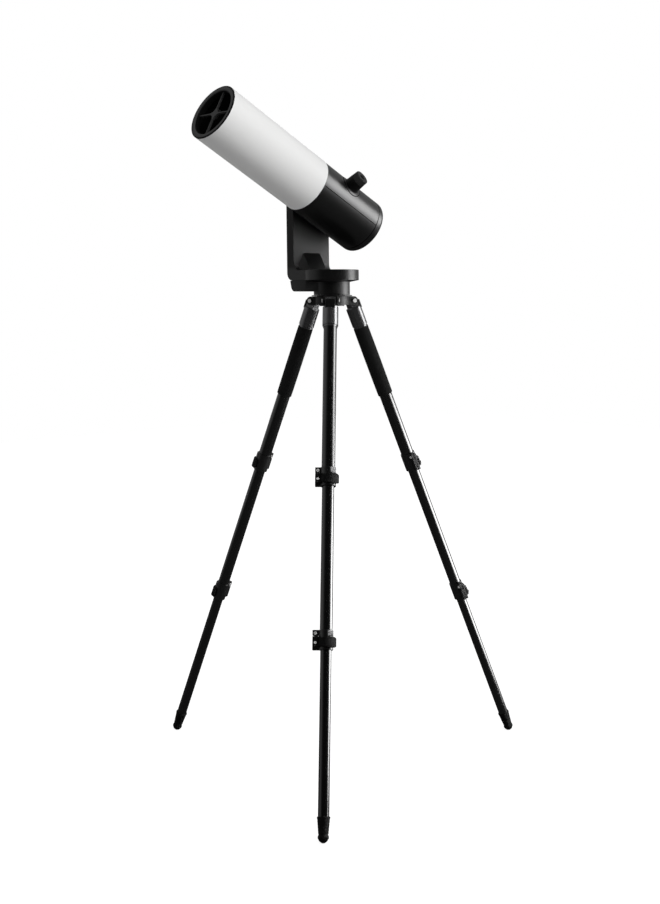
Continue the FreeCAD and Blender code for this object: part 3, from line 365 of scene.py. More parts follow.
def keep(name, bm, body, finish, place=None, stands_for=(), sharp=SHARP_TURN):
    """Turn a bmesh into a finished piece that rides on a body."""
    if place is not None:
        bmesh.ops.transform(bm, matrix=place, verts=bm.verts[:])
    bmesh.ops.recalc_face_normals(bm, faces=bm.faces[:])
    for face in bm.faces:
        face.smooth = True
    for edge in bm.edges:
        edge.smooth = len(edge.link_faces) != 2 or edge.calc_face_angle(0) < math.radians(sharp)
    mesh = bpy.data.meshes.new(name)
    bm.to_mesh(mesh)
    bm.free()
    mesh.materials.append(finish)
    made = bpy.data.objects.new(name, mesh)
    scene.collection.objects.link(made)
    made.modifiers.new("weigh", "WEIGHTED_NORMAL").keep_sharp = True
    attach(made, body)
    if stands_for:
        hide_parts(*stands_for)
    return made


# Screw heads: the socket's inset and half width are shares of the radius, its depth of the height.
HEAD_CROWN, SOCKET_INSET, SOCKET_HALF, SOCKET_DEPTH = 0.3, 0.42, 0.5, 0.6


def socket_screw(bm, place, radius, height):
    """Add a round screw head with a hexagon socket, standing on the origin plane of a place."""
    made = bmesh.ops.create_cone(bm, cap_ends=True, segments=24, radius1=radius, radius2=radius,
                                 depth=height, matrix=place @ Matrix.Translation((0, 0, height / 2)))
    out = (place.to_3x3() @ Vector((0, 0, 1))).normalized()
    bm.normal_update()
    faces = {face for vert in made["verts"] for face in vert.link_faces}
    top = max(faces, key=lambda face: face.normal.dot(out))
    rim = list(top.edges)
    bmesh.ops.inset_region(bm, faces=[top], thickness=radius * SOCKET_INSET, depth=0)
    inner = list(top.verts)
    centre = sum((vert.co for vert in inner), Vector()) / len(inner)
    across = (place.to_3x3() @ Vector((1, 0, 0))).normalized()
    aside = out.cross(across)
    flat = radius * SOCKET_HALF
    for vert in inner:
        arm = vert.co - centre
        angle = math.atan2(arm.dot(aside), arm.dot(across))
        wedge = (angle + math.tau) % (math.pi / 3) - math.pi / 6
        reach = flat / math.cos(wedge)
        vert.co = centre + (across * math.cos(angle) + aside * math.sin(angle)) * reach
    sunk = bmesh.ops.extrude_discrete_faces(bm, faces=[top])["faces"][0]
    bmesh.ops.translate(bm, vec=-out * height * SOCKET_DEPTH, verts=sunk.verts[:])
    bmesh.ops.bevel(bm, geom=rim, offset=min(radius, height) * HEAD_CROWN, offset_type="OFFSET",
                    segments=3, profile=0.5, affect="EDGES", material=-1, clamp_overlap=True)


LEGS = ("front", "left", "right")
FORK_HALF = 20.1 * mm
PIN_HEAD, CAP_RADIUS, CAP_TALL = 3.0 * mm, 5.2 * mm, 1.2 * mm


def level_hinge(side):
    """Frame of one leg's hinge: level, with X pointing away from the hub and Y along the pin."""
    hinge = Vector(joints["leg_%s_spread" % side]["pos_m"])
    return Matrix.Translation(hinge) @ Matrix.Rotation(math.atan2(hinge.y, hinge.x), 4, "Z")


bm = bmesh.new()
for side in LEGS:
    for way in (-1, 1):
        end = Matrix.Translation((0, way * (FORK_HALF + PIN_HEAD), 0))
        outward = Matrix.Rotation(-way * math.pi / 2, 4, "X")
        socket_screw(bm, level_hinge(side) @ end @ outward, CAP_RADIUS, CAP_TALL)
keep("hinge_pin_caps", bm, "head", plated_glint_white)

# ---------------------------------------------------------------------------------------------
# Legs: grey cast caps, three sliding anodised tubes, flip-lock clamps with levers, rubber feet.
# The left and right legs carry a foam grip round the upper tube.

LEAN = math.radians(22.1)


def leg_place(side):
    """Frame of one leg: hinge at the origin, Z back up along the leg, X to its outer side."""
    return level_hinge(side) @ Matrix.Rotation(-LEAN, 4, "Y")


def soften(bm, width, over):
    """Round the edges that turn by more than an angle in degrees."""
    bm.normal_update()
    edges = [edge for edge in bm.edges if len(edge.link_faces) == 2
             and edge.calc_face_angle(0) > math.radians(over)]
    bmesh.ops.bevel(bm, geom=edges, offset=width, offset_type="OFFSET", segments=3, profile=0.5,
                    affect="EDGES", material=-1, clamp_overlap=True)


cap_grey = coated("grey_cap_coating", (0.20, 0.20, 0.203), 0.26, grain=1200.0, relief=0.06, metal=0.9,
                  worn=(0.22, 0.22, 0.22), wear=0.4)
clamp_black = coated("clamp_black", (0.004, 0.004, 0.004), 0.34, grain=1500.0, relief=0.10,
                     worn=RUBBED)
tab_black = coated("tab_black", (0.003, 0.003, 0.003), 0.6, grain=1500.0, relief=0.14,
                   specular=0.24)

# Gloss black anodising: faint drawing lines along the tube under a clear seal.
leg_black = bpy.data.materials.new("gloss_black_anodised")
tree = node_tree(leg_black)
texture = placed(tree, coating_grain, scale=500.0)
lines = add(tree, "TexNoise", {"Vector": add(tree, "TexCoord").outputs["Object"], "Scale": 1400.0,
                               "Detail": 2.0})
shade = blended(tree, texture.outputs["Tone"], (0.0017, 0.0017, 0.0017), (0.0024, 0.0024, 0.0024))
gloss = add(tree, "MapRange", {"Value": texture.outputs["Tone"], "From Min": 0.3, "From Max": 0.7,
                               "To Min": 0.204, "To Max": 0.276})
surfaced(tree, lines.outputs["Fac"], 0.02, {
    "Base Color": shade, "Roughness": gloss.outputs[0], "Specular IOR Level": 1.0,
    "Coat Weight": 0.4, "Coat Roughness": 0.08}, distance=0.0001)

# Foam: pores sunk as relief, with their pits painted darker than the skin between them: painted shade.
foam = bpy.data.materials.new("closed_cell_foam")
tree = node_tree(foam)
spot = add(tree, "TexCoord").outputs["Object"]
pores = add(tree, "TexVoronoi", {"Vector": spot, "Scale": 1100.0, "Randomness": 1.0}, feature="F1")
lumps = add(tree, "TexNoise", {"Vector": spot, "Scale": 260.0, "Detail": 5.0, "Roughness": 0.65})
cloud = add(tree, "TexNoise", {"Vector": spot, "Scale": 24.0, "Detail": 4.0})
depth = add(tree, "Math", {0: pores.outputs["Distance"], 1: lumps.outputs["Fac"]}, operation="ADD")
painted_pore_shade = add(tree, "MapRange", {"Value": pores.outputs["Distance"], "From Min": 0.0, "From Max": 0.6})
shade = blended(tree, painted_pore_shade.outputs[0], (0.002, 0.002, 0.002), (0.008, 0.008, 0.008))
shade = blended(tree, cloud.outputs["Fac"], shade, (0.005, 0.005, 0.005))
surfaced(tree, depth.outputs[0], 0.55, {
    "Base Color": shade, "Roughness": 0.95, "Specular IOR Level": 0.16, "Sheen Weight": 0.04},
    distance=0.0006)

# Knurling: a diamond pattern of two crossed waves, pressed into levers and feet.
KNURL_PITCH = 2.4 * mm
knurled = bpy.data.materials.new("knurled_black")
tree = node_tree(knurled)
spot = add(tree, "TexCoord").outputs["UV"]
waves = []
for slope in (1.0, -1.0):
    slant = add(tree, "VectorMath", {0: spot, 1: (slope, 1.0, 0.0)}, operation="DOT_PRODUCT")
    ridge = add(tree, "Math", {0: slant.outputs["Value"], 1: math.tau / KNURL_PITCH},
                operation="MULTIPLY")
    waves.append(add(tree, "Math", {0: ridge.outputs[0]}, operation="SINE").outputs[0])
diamond = add(tree, "Math", {0: waves[0], 1: waves[1]}, operation="MINIMUM")
texture = placed(tree, coating_grain, scale=1500.0)
shade = blended(tree, texture.outputs["Tone"], (0.002, 0.002, 0.002), (0.004, 0.004, 0.004))
surfaced(tree, diamond.outputs[0], 0.9, {
    "Base Color": shade, "Roughness": 0.55, "Specular IOR Level": 0.2}, distance=0.0003)


def turn(profile, steps):
    """Spin a closed (radius, height) outline once round Z into a new mesh."""
    bm = bmesh.new()
    line = [bm.verts.new((radius, 0, height)) for radius, height in profile]
    edges = [bm.edges.new(pair) for pair in zip(line, line[1:] + line[:1])]
    bmesh.ops.spin(bm, geom=line + edges, cent=(0, 0, 0), axis=(0, 0, 1), angle=math.tau, steps=steps,
                   use_merge=True, use_duplicate=False)
    bmesh.ops.remove_doubles(bm, verts=bm.verts[:], dist=1e-7)
    bmesh.ops.recalc_face_normals(bm, faces=bm.faces[:])
    return bm


def wrap_uv(bm, radius):
    """Unroll a turned piece: the way round it as U, the height as V, both in metres."""
    uv = bm.loops.layers.uv.new("round")
    for face in bm.faces:
        centre = face.calc_center_median()
        middle = math.atan2(centre.y, centre.x)
        for loop in face.loops:
            angle = math.atan2(loop.vert.co.y, loop.vert.co.x) - middle
            angle = (angle + math.pi) % math.tau - math.pi
            loop[uv].uv = ((middle + angle) * radius, loop.vert.co.z)


CAP_END = 79.0 * mm
GRIP_RADIUS, GRIP_LENGTH = 21.0 * mm, 206.0 * mm
GRIP_CROWN, GRIP_PINCH, GRIP_STEPS = 0.45 * mm, 0.9 * mm, 12
UPPER_RADIUS, MIDDLE_RADIUS, LOWER_RADIUS = 18.0 * mm, 16.0 * mm, 14.0 * mm
SLIP = 0.05 * mm
CLAMPS = {"upper": (497.0 * mm, UPPER_RADIUS), "lower": (921.0 * mm, MIDDLE_RADIUS)}
COLLAR_WALL, EAR_HALF = 2.5 * mm, 7.0 * mm
SCREW_OUT, SCREW_UP, SCREW_RADIUS = 26.8 * mm, 16.4 * mm, 3.9 * mm
SCREW_HEAD, NUT_HEAD = 2.9 * mm, 1.8 * mm
PAD_TURN, PAD_PROUD, PAD_UP = math.radians(40), 1.3 * mm, 15.5 * mm
PAD_DEEP, PAD_WIDE, PAD_TALL, PAD_ROUND = 4.4 * mm, 18.0 * mm, 15.0 * mm, 1.2 * mm
LEVER_GAP, LEVER_THICK, LEVER_TALL = 0.4 * mm, 5.6 * mm, 27.0 * mm
LEVER_FIRST, LEVER_LAST = math.radians(-62), math.radians(84)
LEVER_DROP, LEVER_ROUND, LEVER_BULGE = 7.0 * mm, 1.6 * mm, 0.10
LEVER_WAIST, BULGE_STARTS, THUMB_STARTS, THUMB_TAPER = 0.62, 0.6, 0.8, 0.22
BOSS_PLACE, BOSS_DROP = (13 * mm, -24 * mm), 4.3 * mm
BOSS_RADIUS, BOSS_TALL = 5 * mm, 19 * mm
PIVOT_PLACE, PIVOT_DROP = (17.5 * mm, -26.0 * mm), 8.6 * mm
PIVOT_RADIUS, PIVOT_TALL = 3.4 * mm, 1.7 * mm
FOOT_END, FOOT_ROUND, FOOT_NECK, FOOT_SLEEVE = 1408.6 * mm, 13.7 * mm, 7.3 * mm, 41.0 * mm
FOOT_CENTRE = -FOOT_END + FOOT_ROUND
SLEEVE_TOP = FOOT_CENTRE + FOOT_NECK + FOOT_SLEEVE
FOOT_SOCKET, FOOT_GIRTH = 20.0 * mm, 13 * mm
FOOT_RIBS, RIB_PITCH, RIB_TAPER = 5, 6.6 * mm, 0.55 * mm


def lever_height(share):
    """Share of the full height at a share of the way from the waist at the pivot to the thumb end."""
    if share < THUMB_STARTS:
        rise = math.sin(math.pi / 2 * min(1.0, share / THUMB_STARTS) ** 0.8)
        return LEVER_WAIST + (1 - LEVER_WAIST) * rise
    return 1.0 - THUMB_TAPER * ((share - THUMB_STARTS) / (1 - THUMB_STARTS)) ** 2


for side in LEGS:
    leg = "leg_%s_" % side
    place = leg_place(side)
    dress(leg + "cap", cap_grey, 0.8 * mm)
    dress(leg + "stop_tab", tab_black, 0.9 * mm)
    for tube in ("upper_tube", "middle_tube", "lower_tube"):
        dress(leg + tube, leg_black, 0.3 * mm)
    for clamp, (station, radius) in CLAMPS.items():
        dress(leg + clamp + "_clamp", clamp_black, 0.7 * mm)
        body = leg[:-1] if clamp == "upper" else leg + "middle"
        across = Matrix.Rotation(math.pi / 2, 4, "Y")

        # Pale clamp hardware, its white partly a painted highlight: a socket screw through the ears and
        # the head of its nut.
        bm = bmesh.new()
        for way, turned, head in ((1, across, SCREW_HEAD), (-1, across.inverted(), NUT_HEAD)):
            ear = Matrix.Translation((way * EAR_HALF, -SCREW_OUT, SCREW_UP - station))
            socket_screw(bm, ear @ turned, SCREW_RADIUS, head)
        keep(leg + clamp + "_screws", bm, body, plated_glint_white, place)

        # Machined pad on the collar: the flat that the closed lever draws tight against.
        bm = bmesh.new()
        deep = radius + COLLAR_WALL + PAD_PROUD - PAD_DEEP / 2
        pad = Matrix.Rotation(PAD_TURN, 4, "Z") @ Matrix.Translation((deep, 0, PAD_UP - station))
        bmesh.ops.create_cube(bm, size=1, matrix=pad @ Matrix.Diagonal((PAD_DEEP, PAD_WIDE, PAD_TALL, 1)))
        soften(bm, PAD_ROUND, 30)
        keep(leg + clamp + "_pad", bm, body, cap_grey, place)

        # Flip lever: a band round the outer half of the collar that thickens to a knurled thumb end.
        inside = radius + COLLAR_WALL + LEVER_GAP
        outside = inside + LEVER_THICK
        bm = bmesh.new()
        corners = [(inside, -1), (outside, -1), (outside, 1), (inside, 1)]
        ring = [bm.verts.new((reach, 0, way * LEVER_TALL / 2)) for reach, way in corners]
        end = bm.faces.new(ring)
        bmesh.ops.rotate(bm, verts=ring, cent=(0, 0, 0), matrix=Matrix.Rotation(LEVER_FIRST, 3, "Z"))
        bmesh.ops.spin(bm, geom=[end], cent=(0, 0, 0), axis=(0, 0, 1), angle=LEVER_LAST - LEVER_FIRST,
                       steps=30, use_merge=False, use_duplicate=False)
        for vert in bm.verts:
            angle = math.atan2(vert.co.y, vert.co.x)
            share = (angle - LEVER_FIRST) / (LEVER_LAST - LEVER_FIRST)
            vert.co.z *= lever_height(share)
            if math.hypot(vert.co.x, vert.co.y) > inside + LEVER_THICK / 2:
                bulge = 1 + LEVER_BULGE * max(0.0, (share - BULGE_STARTS) / (1 - BULGE_STARTS))
                vert.co.x *= bulge
                vert.co.y *= bulge
        soften(bm, LEVER_ROUND, 40)
        bmesh.ops.translate(bm, vec=(0, 0, -station - LEVER_DROP), verts=bm.verts[:])
        wrap_uv(bm, outside)
        boss = Matrix.Translation((*BOSS_PLACE, -station - BOSS_DROP))
        bmesh.ops.create_cone(bm, cap_ends=True, segments=32, radius1=BOSS_RADIUS, radius2=BOSS_RADIUS,
                              depth=BOSS_TALL, matrix=boss)
        keep(leg + clamp + "_lever_arm", bm, leg + clamp + "_lever_body", knurled,
             place, (leg + clamp + "_lever",))

        # Pin head at the lever's pivot, fixed in the clamp.
        bm = bmesh.new()
        socket_screw(bm, Matrix.Translation((*PIVOT_PLACE, -station - PIVOT_DROP)) @ across,
                     PIVOT_RADIUS, PIVOT_TALL)
        keep(leg + clamp + "_pivot_pin", bm, body, plated_glint_white, place)

    # Foam grip: a soft sleeve with a slight crown, pinched in at both ends.
    if side != "front":
        top = -CAP_END - 0.2 * mm
        bottom = top - GRIP_LENGTH
        shoulder = GRIP_RADIUS - 0.1 * mm
        outline = [(UPPER_RADIUS + SLIP, top), (GRIP_RADIUS - GRIP_PINCH, top),
                   (shoulder, top - 1.0 * mm)]
        for step in range(1, GRIP_STEPS):
            share = step / GRIP_STEPS
            crown = GRIP_CROWN * math.sin(math.pi * share)
            outline.append((GRIP_RADIUS + crown, top - GRIP_LENGTH * share))
        outline += [(shoulder, bottom + 1.0 * mm), (GRIP_RADIUS - GRIP_PINCH, bottom),
                    (UPPER_RADIUS + SLIP, bottom)]
        bm = turn(outline, 72)
        grip = keep(leg + "foam_sleeve", bm, leg[:-1], foam, place, (leg + "grip",), 60)

    # Foot: tapered sleeve with a flared collar pressed on the lower tube, and a faceted grip end.
    outline = [(LOWER_RADIUS + SLIP, SLEEVE_TOP), (15.9 * mm, SLEEVE_TOP),
               (16.5 * mm, SLEEVE_TOP - 0.8 * mm), (16.5 * mm, SLEEVE_TOP - 4.2 * mm),
               (15.7 * mm, SLEEVE_TOP - 5.2 * mm)]
    for rib in range(FOOT_RIBS):
        height = SLEEVE_TOP - 7.5 * mm - rib * RIB_PITCH
        girth = 15.5 * mm - rib * RIB_TAPER
        outline += [(girth, height), (girth - 0.45 * mm, height - 0.7 * mm),
                    (girth - 0.45 * mm, height - 1.5 * mm), (girth - 0.15 * mm, height - 2.2 * mm)]
    outline += [(12.9 * mm, FOOT_CENTRE + 8.6 * mm), (12.0 * mm, FOOT_CENTRE + 8.0 * mm),
                (12.1 * mm, FOOT_CENTRE + 6.4 * mm), (13.9 * mm, FOOT_CENTRE + 1.2 * mm),
                (13.5 * mm, FOOT_CENTRE - 2.6 * mm), (9.4 * mm, FOOT_CENTRE - 9.2 * mm),
                (3.6 * mm, FOOT_CENTRE - 13.1 * mm), (0, FOOT_CENTRE - 13.5 * mm),
                (0, SLEEVE_TOP - FOOT_SOCKET), (LOWER_RADIUS + SLIP, SLEEVE_TOP - FOOT_SOCKET)]
    bm = turn(outline, 48)
    wrap_uv(bm, FOOT_GIRTH)
    keep(leg + "rubber_foot", bm, leg + "lower", knurled, place, (leg + "foot",), 28)

# ---------------------------------------------------------------------------------------------
# Drives: a machined aluminium spigot with a toothed ring, fixed on the plate, steel bearings, and
# two cased motors with brass pinions. Drum and arm hide them.

machined = coated("machined_aluminium", (0.62, 0.62, 0.64), 0.32, grain=1800.0, relief=0.05, metal=1.0)
brass = coated("machined_brass", (0.62, 0.44, 0.18), 0.28, grain=1800.0, relief=0.05, metal=1.0)
motor_case = coated("motor_case", (0.06, 0.06, 0.062), 0.5, grain=1200.0, relief=0.1, metal=0.4)
dress("azimuth_spigot", machined, 0.3 * mm)
dress("axis_bearings", bright_steel, 0.5 * mm)
dress("drive_motors", motor_case, 0.6 * mm)
dress("azimuth_pinion", brass, 0)
dress("altitude_pinion", brass, 0)

# ---------------------------------------------------------------------------------------------
# Drive box and drum: one moulded housing under the arm's foot, with the power button, charging
# port and battery.

moulded_black = coated("moulded_black", (0.003, 0.003, 0.003), 0.33, grain=1300.0, relief=0.10,
                       worn=RUBBED, wear=0.3)
box_black = coated("box_black", (0.004, 0.004, 0.004), 0.42, grain=1300.0, relief=0.12, specular=0.6)
dress("drive_box", box_black, 0.8 * mm)
dress("battery_pack", motor_case, 1.5 * mm)
dress("power_button", moulded_black, 0.5 * mm)

# ---------------------------------------------------------------------------------------------
# Arm: casting with disc and upright in one, coated satin black, with a flush cover plate
# outside and a faceted cover in the corner of the foot.

DISC_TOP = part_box("foot_cover")[0][2]
SATIN, MATT, MATT_RISE = 0.30, 0.64, 12 * mm

# The casting's coat: satin on the disc and foot, more matt up the arm.
arm_black = bpy.data.materials.new("arm_coating")
tree = node_tree(arm_black)
texture = placed(tree, coating_grain, scale=900.0)
height = add(tree, "SeparateXYZ", {"Vector": add(tree, "TexCoord").outputs["Object"]})
matte = add(tree, "MapRange", {"Value": height.outputs["Z"], "From Min": DISC_TOP,
                               "From Max": DISC_TOP + MATT_RISE, "To Min": SATIN, "To Max": MATT})
body = blended(tree, texture.outputs["Tone"], (0.003, 0.003, 0.003), (0.006, 0.006, 0.006))
body = worn_edges(tree, body, RUBBED, 0.3)
surfaced(tree, texture.outputs["Height"], 0.12, {
    "Base Color": body, "Roughness": matte.outputs[0], "Specular IOR Level": 0.6})
dress("arm_frame", arm_black, 1.0 * mm)
dress("arm_cover", arm_black, 0.5 * mm)
dress("foot_cover", moulded_black, 0.5 * mm)

# ---------------------------------------------------------------------------------------------
# Tube: aluminium tube coated satin white outside and dead black inside, front ring, spider
# and camera.

ALTITUDE = math.radians(28)
TUBE = Matrix.Translation(PIVOT) @ Matrix.Rotation(-ALTITUDE, 4, "Y")
SKIN_RADIUS = 77.5 * mm


def tube_radius(tree):
    """Distance of a shading point from the tube's axis, in metres."""
    spot = add(tree, "TexCoord").outputs["Object"]
    along_tube = add(tree, "Mapping", {"Vector": spot, "Location": PIVOT, "Rotation": (0, -ALTITUDE, 0)},
                     vector_type="TEXTURE")
    parts = add(tree, "SeparateXYZ", {"Vector": along_tube.outputs[0]})
    reach = add(tree, "CombineXYZ", {"Y": parts.outputs["Y"], "Z": parts.outputs["Z"]})
    return add(tree, "VectorMath", {0: reach.outputs[0]}, operation="LENGTH").outputs["Value"]


tube_paint = bpy.data.materials.new("white_outside_black_inside")
tree = node_tree(tube_paint)
outer = add(tree, "Math", {0: tube_radius(tree), 1: SKIN_RADIUS}, operation="GREATER_THAN")
texture = placed(tree, coating_grain, scale=700.0)
white = blended(tree, texture.outputs["Tone"], (0.80, 0.80, 0.795), (0.84, 0.84, 0.835))
body = blended(tree, outer.outputs[0], (0.006, 0.006, 0.006), white)
gloss = add(tree, "MapRange", {"Value": outer.outputs[0], "To Min": 0.95, "To Max": 0.46})
surfaced(tree, texture.outputs["Height"], 0.05, {
    "Base Color": body, "Roughness": gloss.outputs[0], "Specular IOR Level": 0.06})
dress("tube_shell", tube_paint, 0.3 * mm)

# Front ring: black rim and bore round a grey face.
BORE_EDGE, RIM_EDGE = (64.4 * mm, 65.4 * mm), (73.6 * mm, 74.8 * mm)
ring_grey = bpy.data.materials.new("front_ring_plastic")
tree = node_tree(ring_grey)
texture = placed(tree, coating_grain, scale=1600.0)
rim, bore = (add(tree, "MapRange", {"Value": tube_radius(tree), "From Min": low, "From Max": high})
             for low, high in (RIM_EDGE, BORE_EDGE))
face = blended(tree, texture.outputs["Tone"], (0.044, 0.044, 0.044), (0.060, 0.060, 0.060))
face = blended(tree, bore.outputs[0], (0.006, 0.006, 0.006), face)
body = blended(tree, rim.outputs[0], face, (0.003, 0.003, 0.003))
surfaced(tree, texture.outputs["Height"], 0.1, {
    "Base Color": body, "Roughness": 0.6, "Specular IOR Level": 0.25})
dress("front_ring", ring_grey, 0.4 * mm)
vane_grey = coated("vane_grey", (0.050, 0.050, 0.050), 0.6, grain=1600.0, relief=0.1, specular=0.25)
dress("spider", vane_grey, 0.4 * mm)
satin_black = coated("satin_black_coating", (0.006, 0.006, 0.006), 0.40, worn=RUBBED, wear=0.3)
dress("camera_unit", satin_black, 0.6 * mm)

# ---------------------------------------------------------------------------------------------
# Rear of the tube: two moulded cover halves over the shell and a rounded cap behind them. The
# machined hub carries the tube on the arm, and the silvered glass mirror sits in a machined cell.

dress("upper_cover", moulded_black, 0.6 * mm)
dress("lower_cover", moulded_black, 0.6 * mm)
dress("rear_cap", moulded_black, 0.6 * mm)
dress("altitude_hub", machined, 0.3 * mm)
dress("mirror_cell", machined, 0.4 * mm)

# Matt black strips sit in the joints between the cover halves and in front of the rear cap: painted shade
# that draws the seams as dark lines.
COVER_RADIUS, CAP_SEAM, WHITE_END = 77.8 * mm, 115.0 * mm, 98.5 * mm
SPLIT_DROP, HUB_HOLE = 8.2 * mm, 45.1 * mm
SEAM_STRIP, SEAM_STRIP_PROUD, SEAM_STRIP_DEEP = 2.0 * mm, 0.15 * mm, 1.0 * mm
SEAM_SHIFT, STRIP_SHORT, STRIP_ROUND = 0.15 * mm, 0.6 * mm, 0.1 * mm
LONG_EDGE = 20 * mm
seam_shade_black = coated("painted_seam_shade", (0.002, 0.002, 0.002), 0.9, grain=2000.0, relief=0.2,
                     specular=0.05)
proud, sunk = COVER_RADIUS + SEAM_STRIP_PROUD, COVER_RADIUS - SEAM_STRIP_DEEP
bm = turn([(sunk, -SEAM_STRIP / 2), (proud, -SEAM_STRIP / 2), (proud, SEAM_STRIP / 2), (sunk, SEAM_STRIP / 2)], 160)
bmesh.ops.transform(bm, verts=bm.verts[:], matrix=Matrix.Translation((-CAP_SEAM + SEAM_SHIFT, 0, 0))
                    @ Matrix.Rotation(math.pi / 2, 4, "Y"))
dip = math.asin(SPLIT_DROP / COVER_RADIUS)
hole = math.sqrt(HUB_HOLE ** 2 - SPLIT_DROP ** 2)
for turned, low, high in ((-dip, -CAP_SEAM, WHITE_END), (math.pi + dip, -CAP_SEAM, -hole),
                          (math.pi + dip, hole, WHITE_END)):
    middle = Matrix.Translation(((low + high) / 2, proud - SEAM_STRIP_DEEP / 2, 0))
    size = Matrix.Diagonal((high - low - STRIP_SHORT, SEAM_STRIP_DEEP, SEAM_STRIP, 1))
    seat = Matrix.Rotation(turned, 4, "X") @ middle @ size
    strip = set(bmesh.ops.create_cube(bm, size=1, matrix=seat)["verts"])
    long_edges = [edge for edge in bm.edges
                  if strip.issuperset(edge.verts) and edge.calc_length() > LONG_EDGE]
    bmesh.ops.bevel(bm, geom=long_edges, offset=STRIP_ROUND, offset_type="OFFSET", segments=1,
                    profile=0.5, affect="EDGES", material=-1)
keep("cover_seam_shade", bm, "tube", seam_shade_black, TUBE)


def polished(name, haze_scale, detail, clearest, dullest, inputs):
    """Polished optical surface: clear, with a trace of uneven haze."""
    material = bpy.data.materials.new(name)
    tree = node_tree(material)
    spot = add(tree, "TexCoord").outputs["Object"]
    haze = add(tree, "TexNoise", {"Vector": spot, "Scale": haze_scale, "Detail": detail})
    film = add(tree, "MapRange", {"Value": haze.outputs["Fac"], "To Min": clearest, "To Max": dullest})
    surfaced(tree, None, 0.0, {**inputs, "Roughness": film.outputs[0]})
    return material


silvered = polished("silvered_mirror", 30.0, 6.0, 0.02, 0.07,
                    {"Base Color": (0.88, 0.89, 0.91, 1), "Metallic": 1.0})
dress("primary_mirror", silvered, 0.3 * mm)

# ---------------------------------------------------------------------------------------------
# Eyepiece: a moulded barrel whose skirt follows the round cover, a coated glass lens and a rubber
# eyecup that turns on the neck to focus.

EYE_RISE = math.radians(40)
EYE = TUBE @ Matrix.Rotation(EYE_RISE - math.pi / 2, 4, "X")
EYE_BORE, EYE_NECK = 13.0 * mm, 16.0 * mm
BARREL_TOP, NECK_TOP = 100.4 * mm, 109.4 * mm
RISE = BARREL_TOP - COVER_RADIUS
FLANGE_RADIUS, FLANGE_BORE, FLANGE_SUNK = 31.0 * mm, 20.0 * mm, 1.5 * mm
SKIRT_RADIUS, SKIRT_FOOT, SKIRT_SUNK = 24.8 * mm, 1.2 * mm, 0.2 * mm
FLARE_IN, FLARE_UP, FLARE_STEPS = 3.0 * mm, 6.0 * mm, 8
SEAT_RADIUS, SEAT_UP, NECK_UP = 14.5 * mm, 5 * mm, 9 * mm
eye_black = coated("eyepiece_black", (0.002, 0.002, 0.002), 0.5, grain=1500.0, specular=0.4)


def wrap_cover(profile, steps=96):
    """Grow rings of (radius, height, hug) round Z; hug is how far one follows the round cover."""
    bm = bmesh.new()
    ring = bmesh.ops.create_circle(bm, segments=steps, radius=1.0)["verts"]
    first = edges = list(bm.edges)
    for index, (radius, height, hug) in enumerate(profile):
        if index:
            grown = bmesh.ops.extrude_edge_only(bm, edges=edges)["geom"]
            ring = [item for item in grown if isinstance(item, bmesh.types.BMVert)]
            fresh = set(ring)
            edges = [item for item in grown
                     if isinstance(item, bmesh.types.BMEdge) and fresh.issuperset(item.verts)]
        for vert in ring:
            angle = math.atan2(vert.co.y, vert.co.x)
            across = radius * math.sin(angle)
            saddle = math.sqrt(COVER_RADIUS ** 2 - across ** 2)
            seat = hug * saddle + (1 - hug) * COVER_RADIUS
            vert.co = (radius * math.cos(angle), across, seat + height)
    bmesh.ops.bridge_loops(bm, edges=first + edges)
    return bm


bm = wrap_cover([(FLANGE_RADIUS, -FLANGE_SUNK, 1), (FLANGE_RADIUS, 0.5 * mm, 1),
                 (FLANGE_RADIUS - 0.5 * mm, 0.9 * mm, 1), (25.6 * mm, 1.1 * mm, 1),
                 (FLANGE_BORE, 1.1 * mm, 1), (FLANGE_BORE, -FLANGE_SUNK, 1)])
keep("eyepiece_flange", bm, "tube", moulded_black, EYE, ("eyepiece_barrel",))
# A matt black ring round the flange: painted shade that draws the seam round it as a dark line.
SEAM_RING_IN, SEAM_RING_OUT, SEAM_RING_SUNK, SEAM_RING_PROUD = 31.1 * mm, 33.0 * mm, 1.0 * mm, 0.2 * mm
bm = wrap_cover([(SEAM_RING_IN, -SEAM_RING_SUNK, 1), (SEAM_RING_IN, SEAM_RING_PROUD, 1), (SEAM_RING_OUT, SEAM_RING_PROUD, 1),
                 (SEAM_RING_OUT, -SEAM_RING_SUNK, 1)])
keep("eyepiece_seam_shade", bm, "tube", seam_shade_black, EYE)

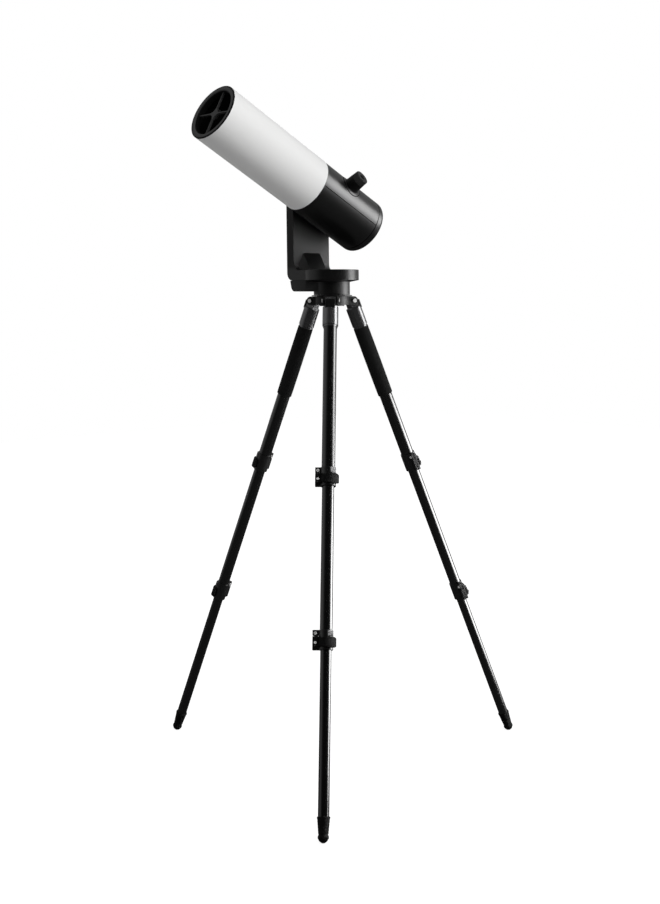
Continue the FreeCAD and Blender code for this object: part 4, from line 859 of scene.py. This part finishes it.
flare = []
for step in range(FLARE_STEPS + 1):
    turned = math.pi / 2 * step / FLARE_STEPS
    flare.append((SKIRT_RADIUS - FLARE_IN * math.sin(turned),
                  SKIRT_FOOT + FLARE_UP * (1 - math.cos(turned)), math.cos(turned)))
bm = wrap_cover([(SKIRT_RADIUS, SKIRT_SUNK, 1)] + flare + [
    (21.3 * mm, RISE - 1.0 * mm, 0), (20.7 * mm, RISE, 0), (EYE_NECK, RISE, 0),
    (EYE_NECK, RISE + NECK_UP, 0), (SEAT_RADIUS, RISE + NECK_UP, 0), (SEAT_RADIUS, RISE + SEAT_UP, 0),
    (EYE_BORE, RISE + SEAT_UP, 0), (EYE_BORE, SKIRT_SUNK, 1)])
keep("eyepiece_skirt", bm, "tube", eye_black, EYE, ("eyepiece_barrel",))

# Eyecup: a thick rubber cup with shallow finger grooves round its outside.
CUP_GAP, CUP_STEPS, GROOVE_EVERY, GROOVE_SHARE = 0.25 * mm, 144, 4, 0.972
bm = turn([(EYE_NECK + SLIP, BARREL_TOP + CUP_GAP), (20.6 * mm, BARREL_TOP + CUP_GAP),
           (20.9 * mm, BARREL_TOP + 1.0 * mm), (20.3 * mm, 116.4 * mm), (18.7 * mm, 118.3 * mm),
           (17.2 * mm, 118.4 * mm), (16.6 * mm, 117.7 * mm), (9.6 * mm, 117.7 * mm),
           (8.2 * mm, 117.2 * mm), (7.4 * mm, 115.8 * mm), (7.4 * mm, 112.4 * mm),
           (EYE_NECK + SLIP, NECK_TOP + CUP_GAP)], CUP_STEPS)
for vert in bm.verts:
    step = round(math.atan2(vert.co.y, vert.co.x) / math.tau * CUP_STEPS)
    if math.hypot(vert.co.x, vert.co.y) > 20.0 * mm and step % GROOVE_EVERY == 0:
        vert.co.x *= GROOVE_SHARE
        vert.co.y *= GROOVE_SHARE
eye_rubber = coated("eyecup_rubber", (0.020, 0.020, 0.020), 0.6, grain=2000.0, relief=0.25,
                    specular=0.4)
keep("eyecup_ribbed", bm, "eyecup_body", eye_rubber, EYE, ("eyecup",), 25)

glass = polished("coated_glass", 40.0, 4.0, 0.01, 0.05,
                 {"Base Color": (0.85, 0.92, 0.95, 1), "Transmission Weight": 1.0, "IOR": 1.5})
dress("eye_lens", glass, 0.3 * mm)

# ---------------------------------------------------------------------------------------------
# The glint softbox shines on the stand and the arm only, so that no flare runs down the tube.
# What it lights is gathered here, once every piece is in place.

GLINT_PIECES = ("tripod_head", "hinge_pin_caps", "hinge_pins", "fixing_knob", "drive_box",
                "arm_frame")
stand_and_arm = bpy.data.collections.new("stand_and_arm")
for made in scene.objects:
    if made.name.startswith("leg_") or made.name in GLINT_PIECES:
        stand_and_arm.objects.link(made)
glint.light_linking.receiver_collection = stand_and_arm
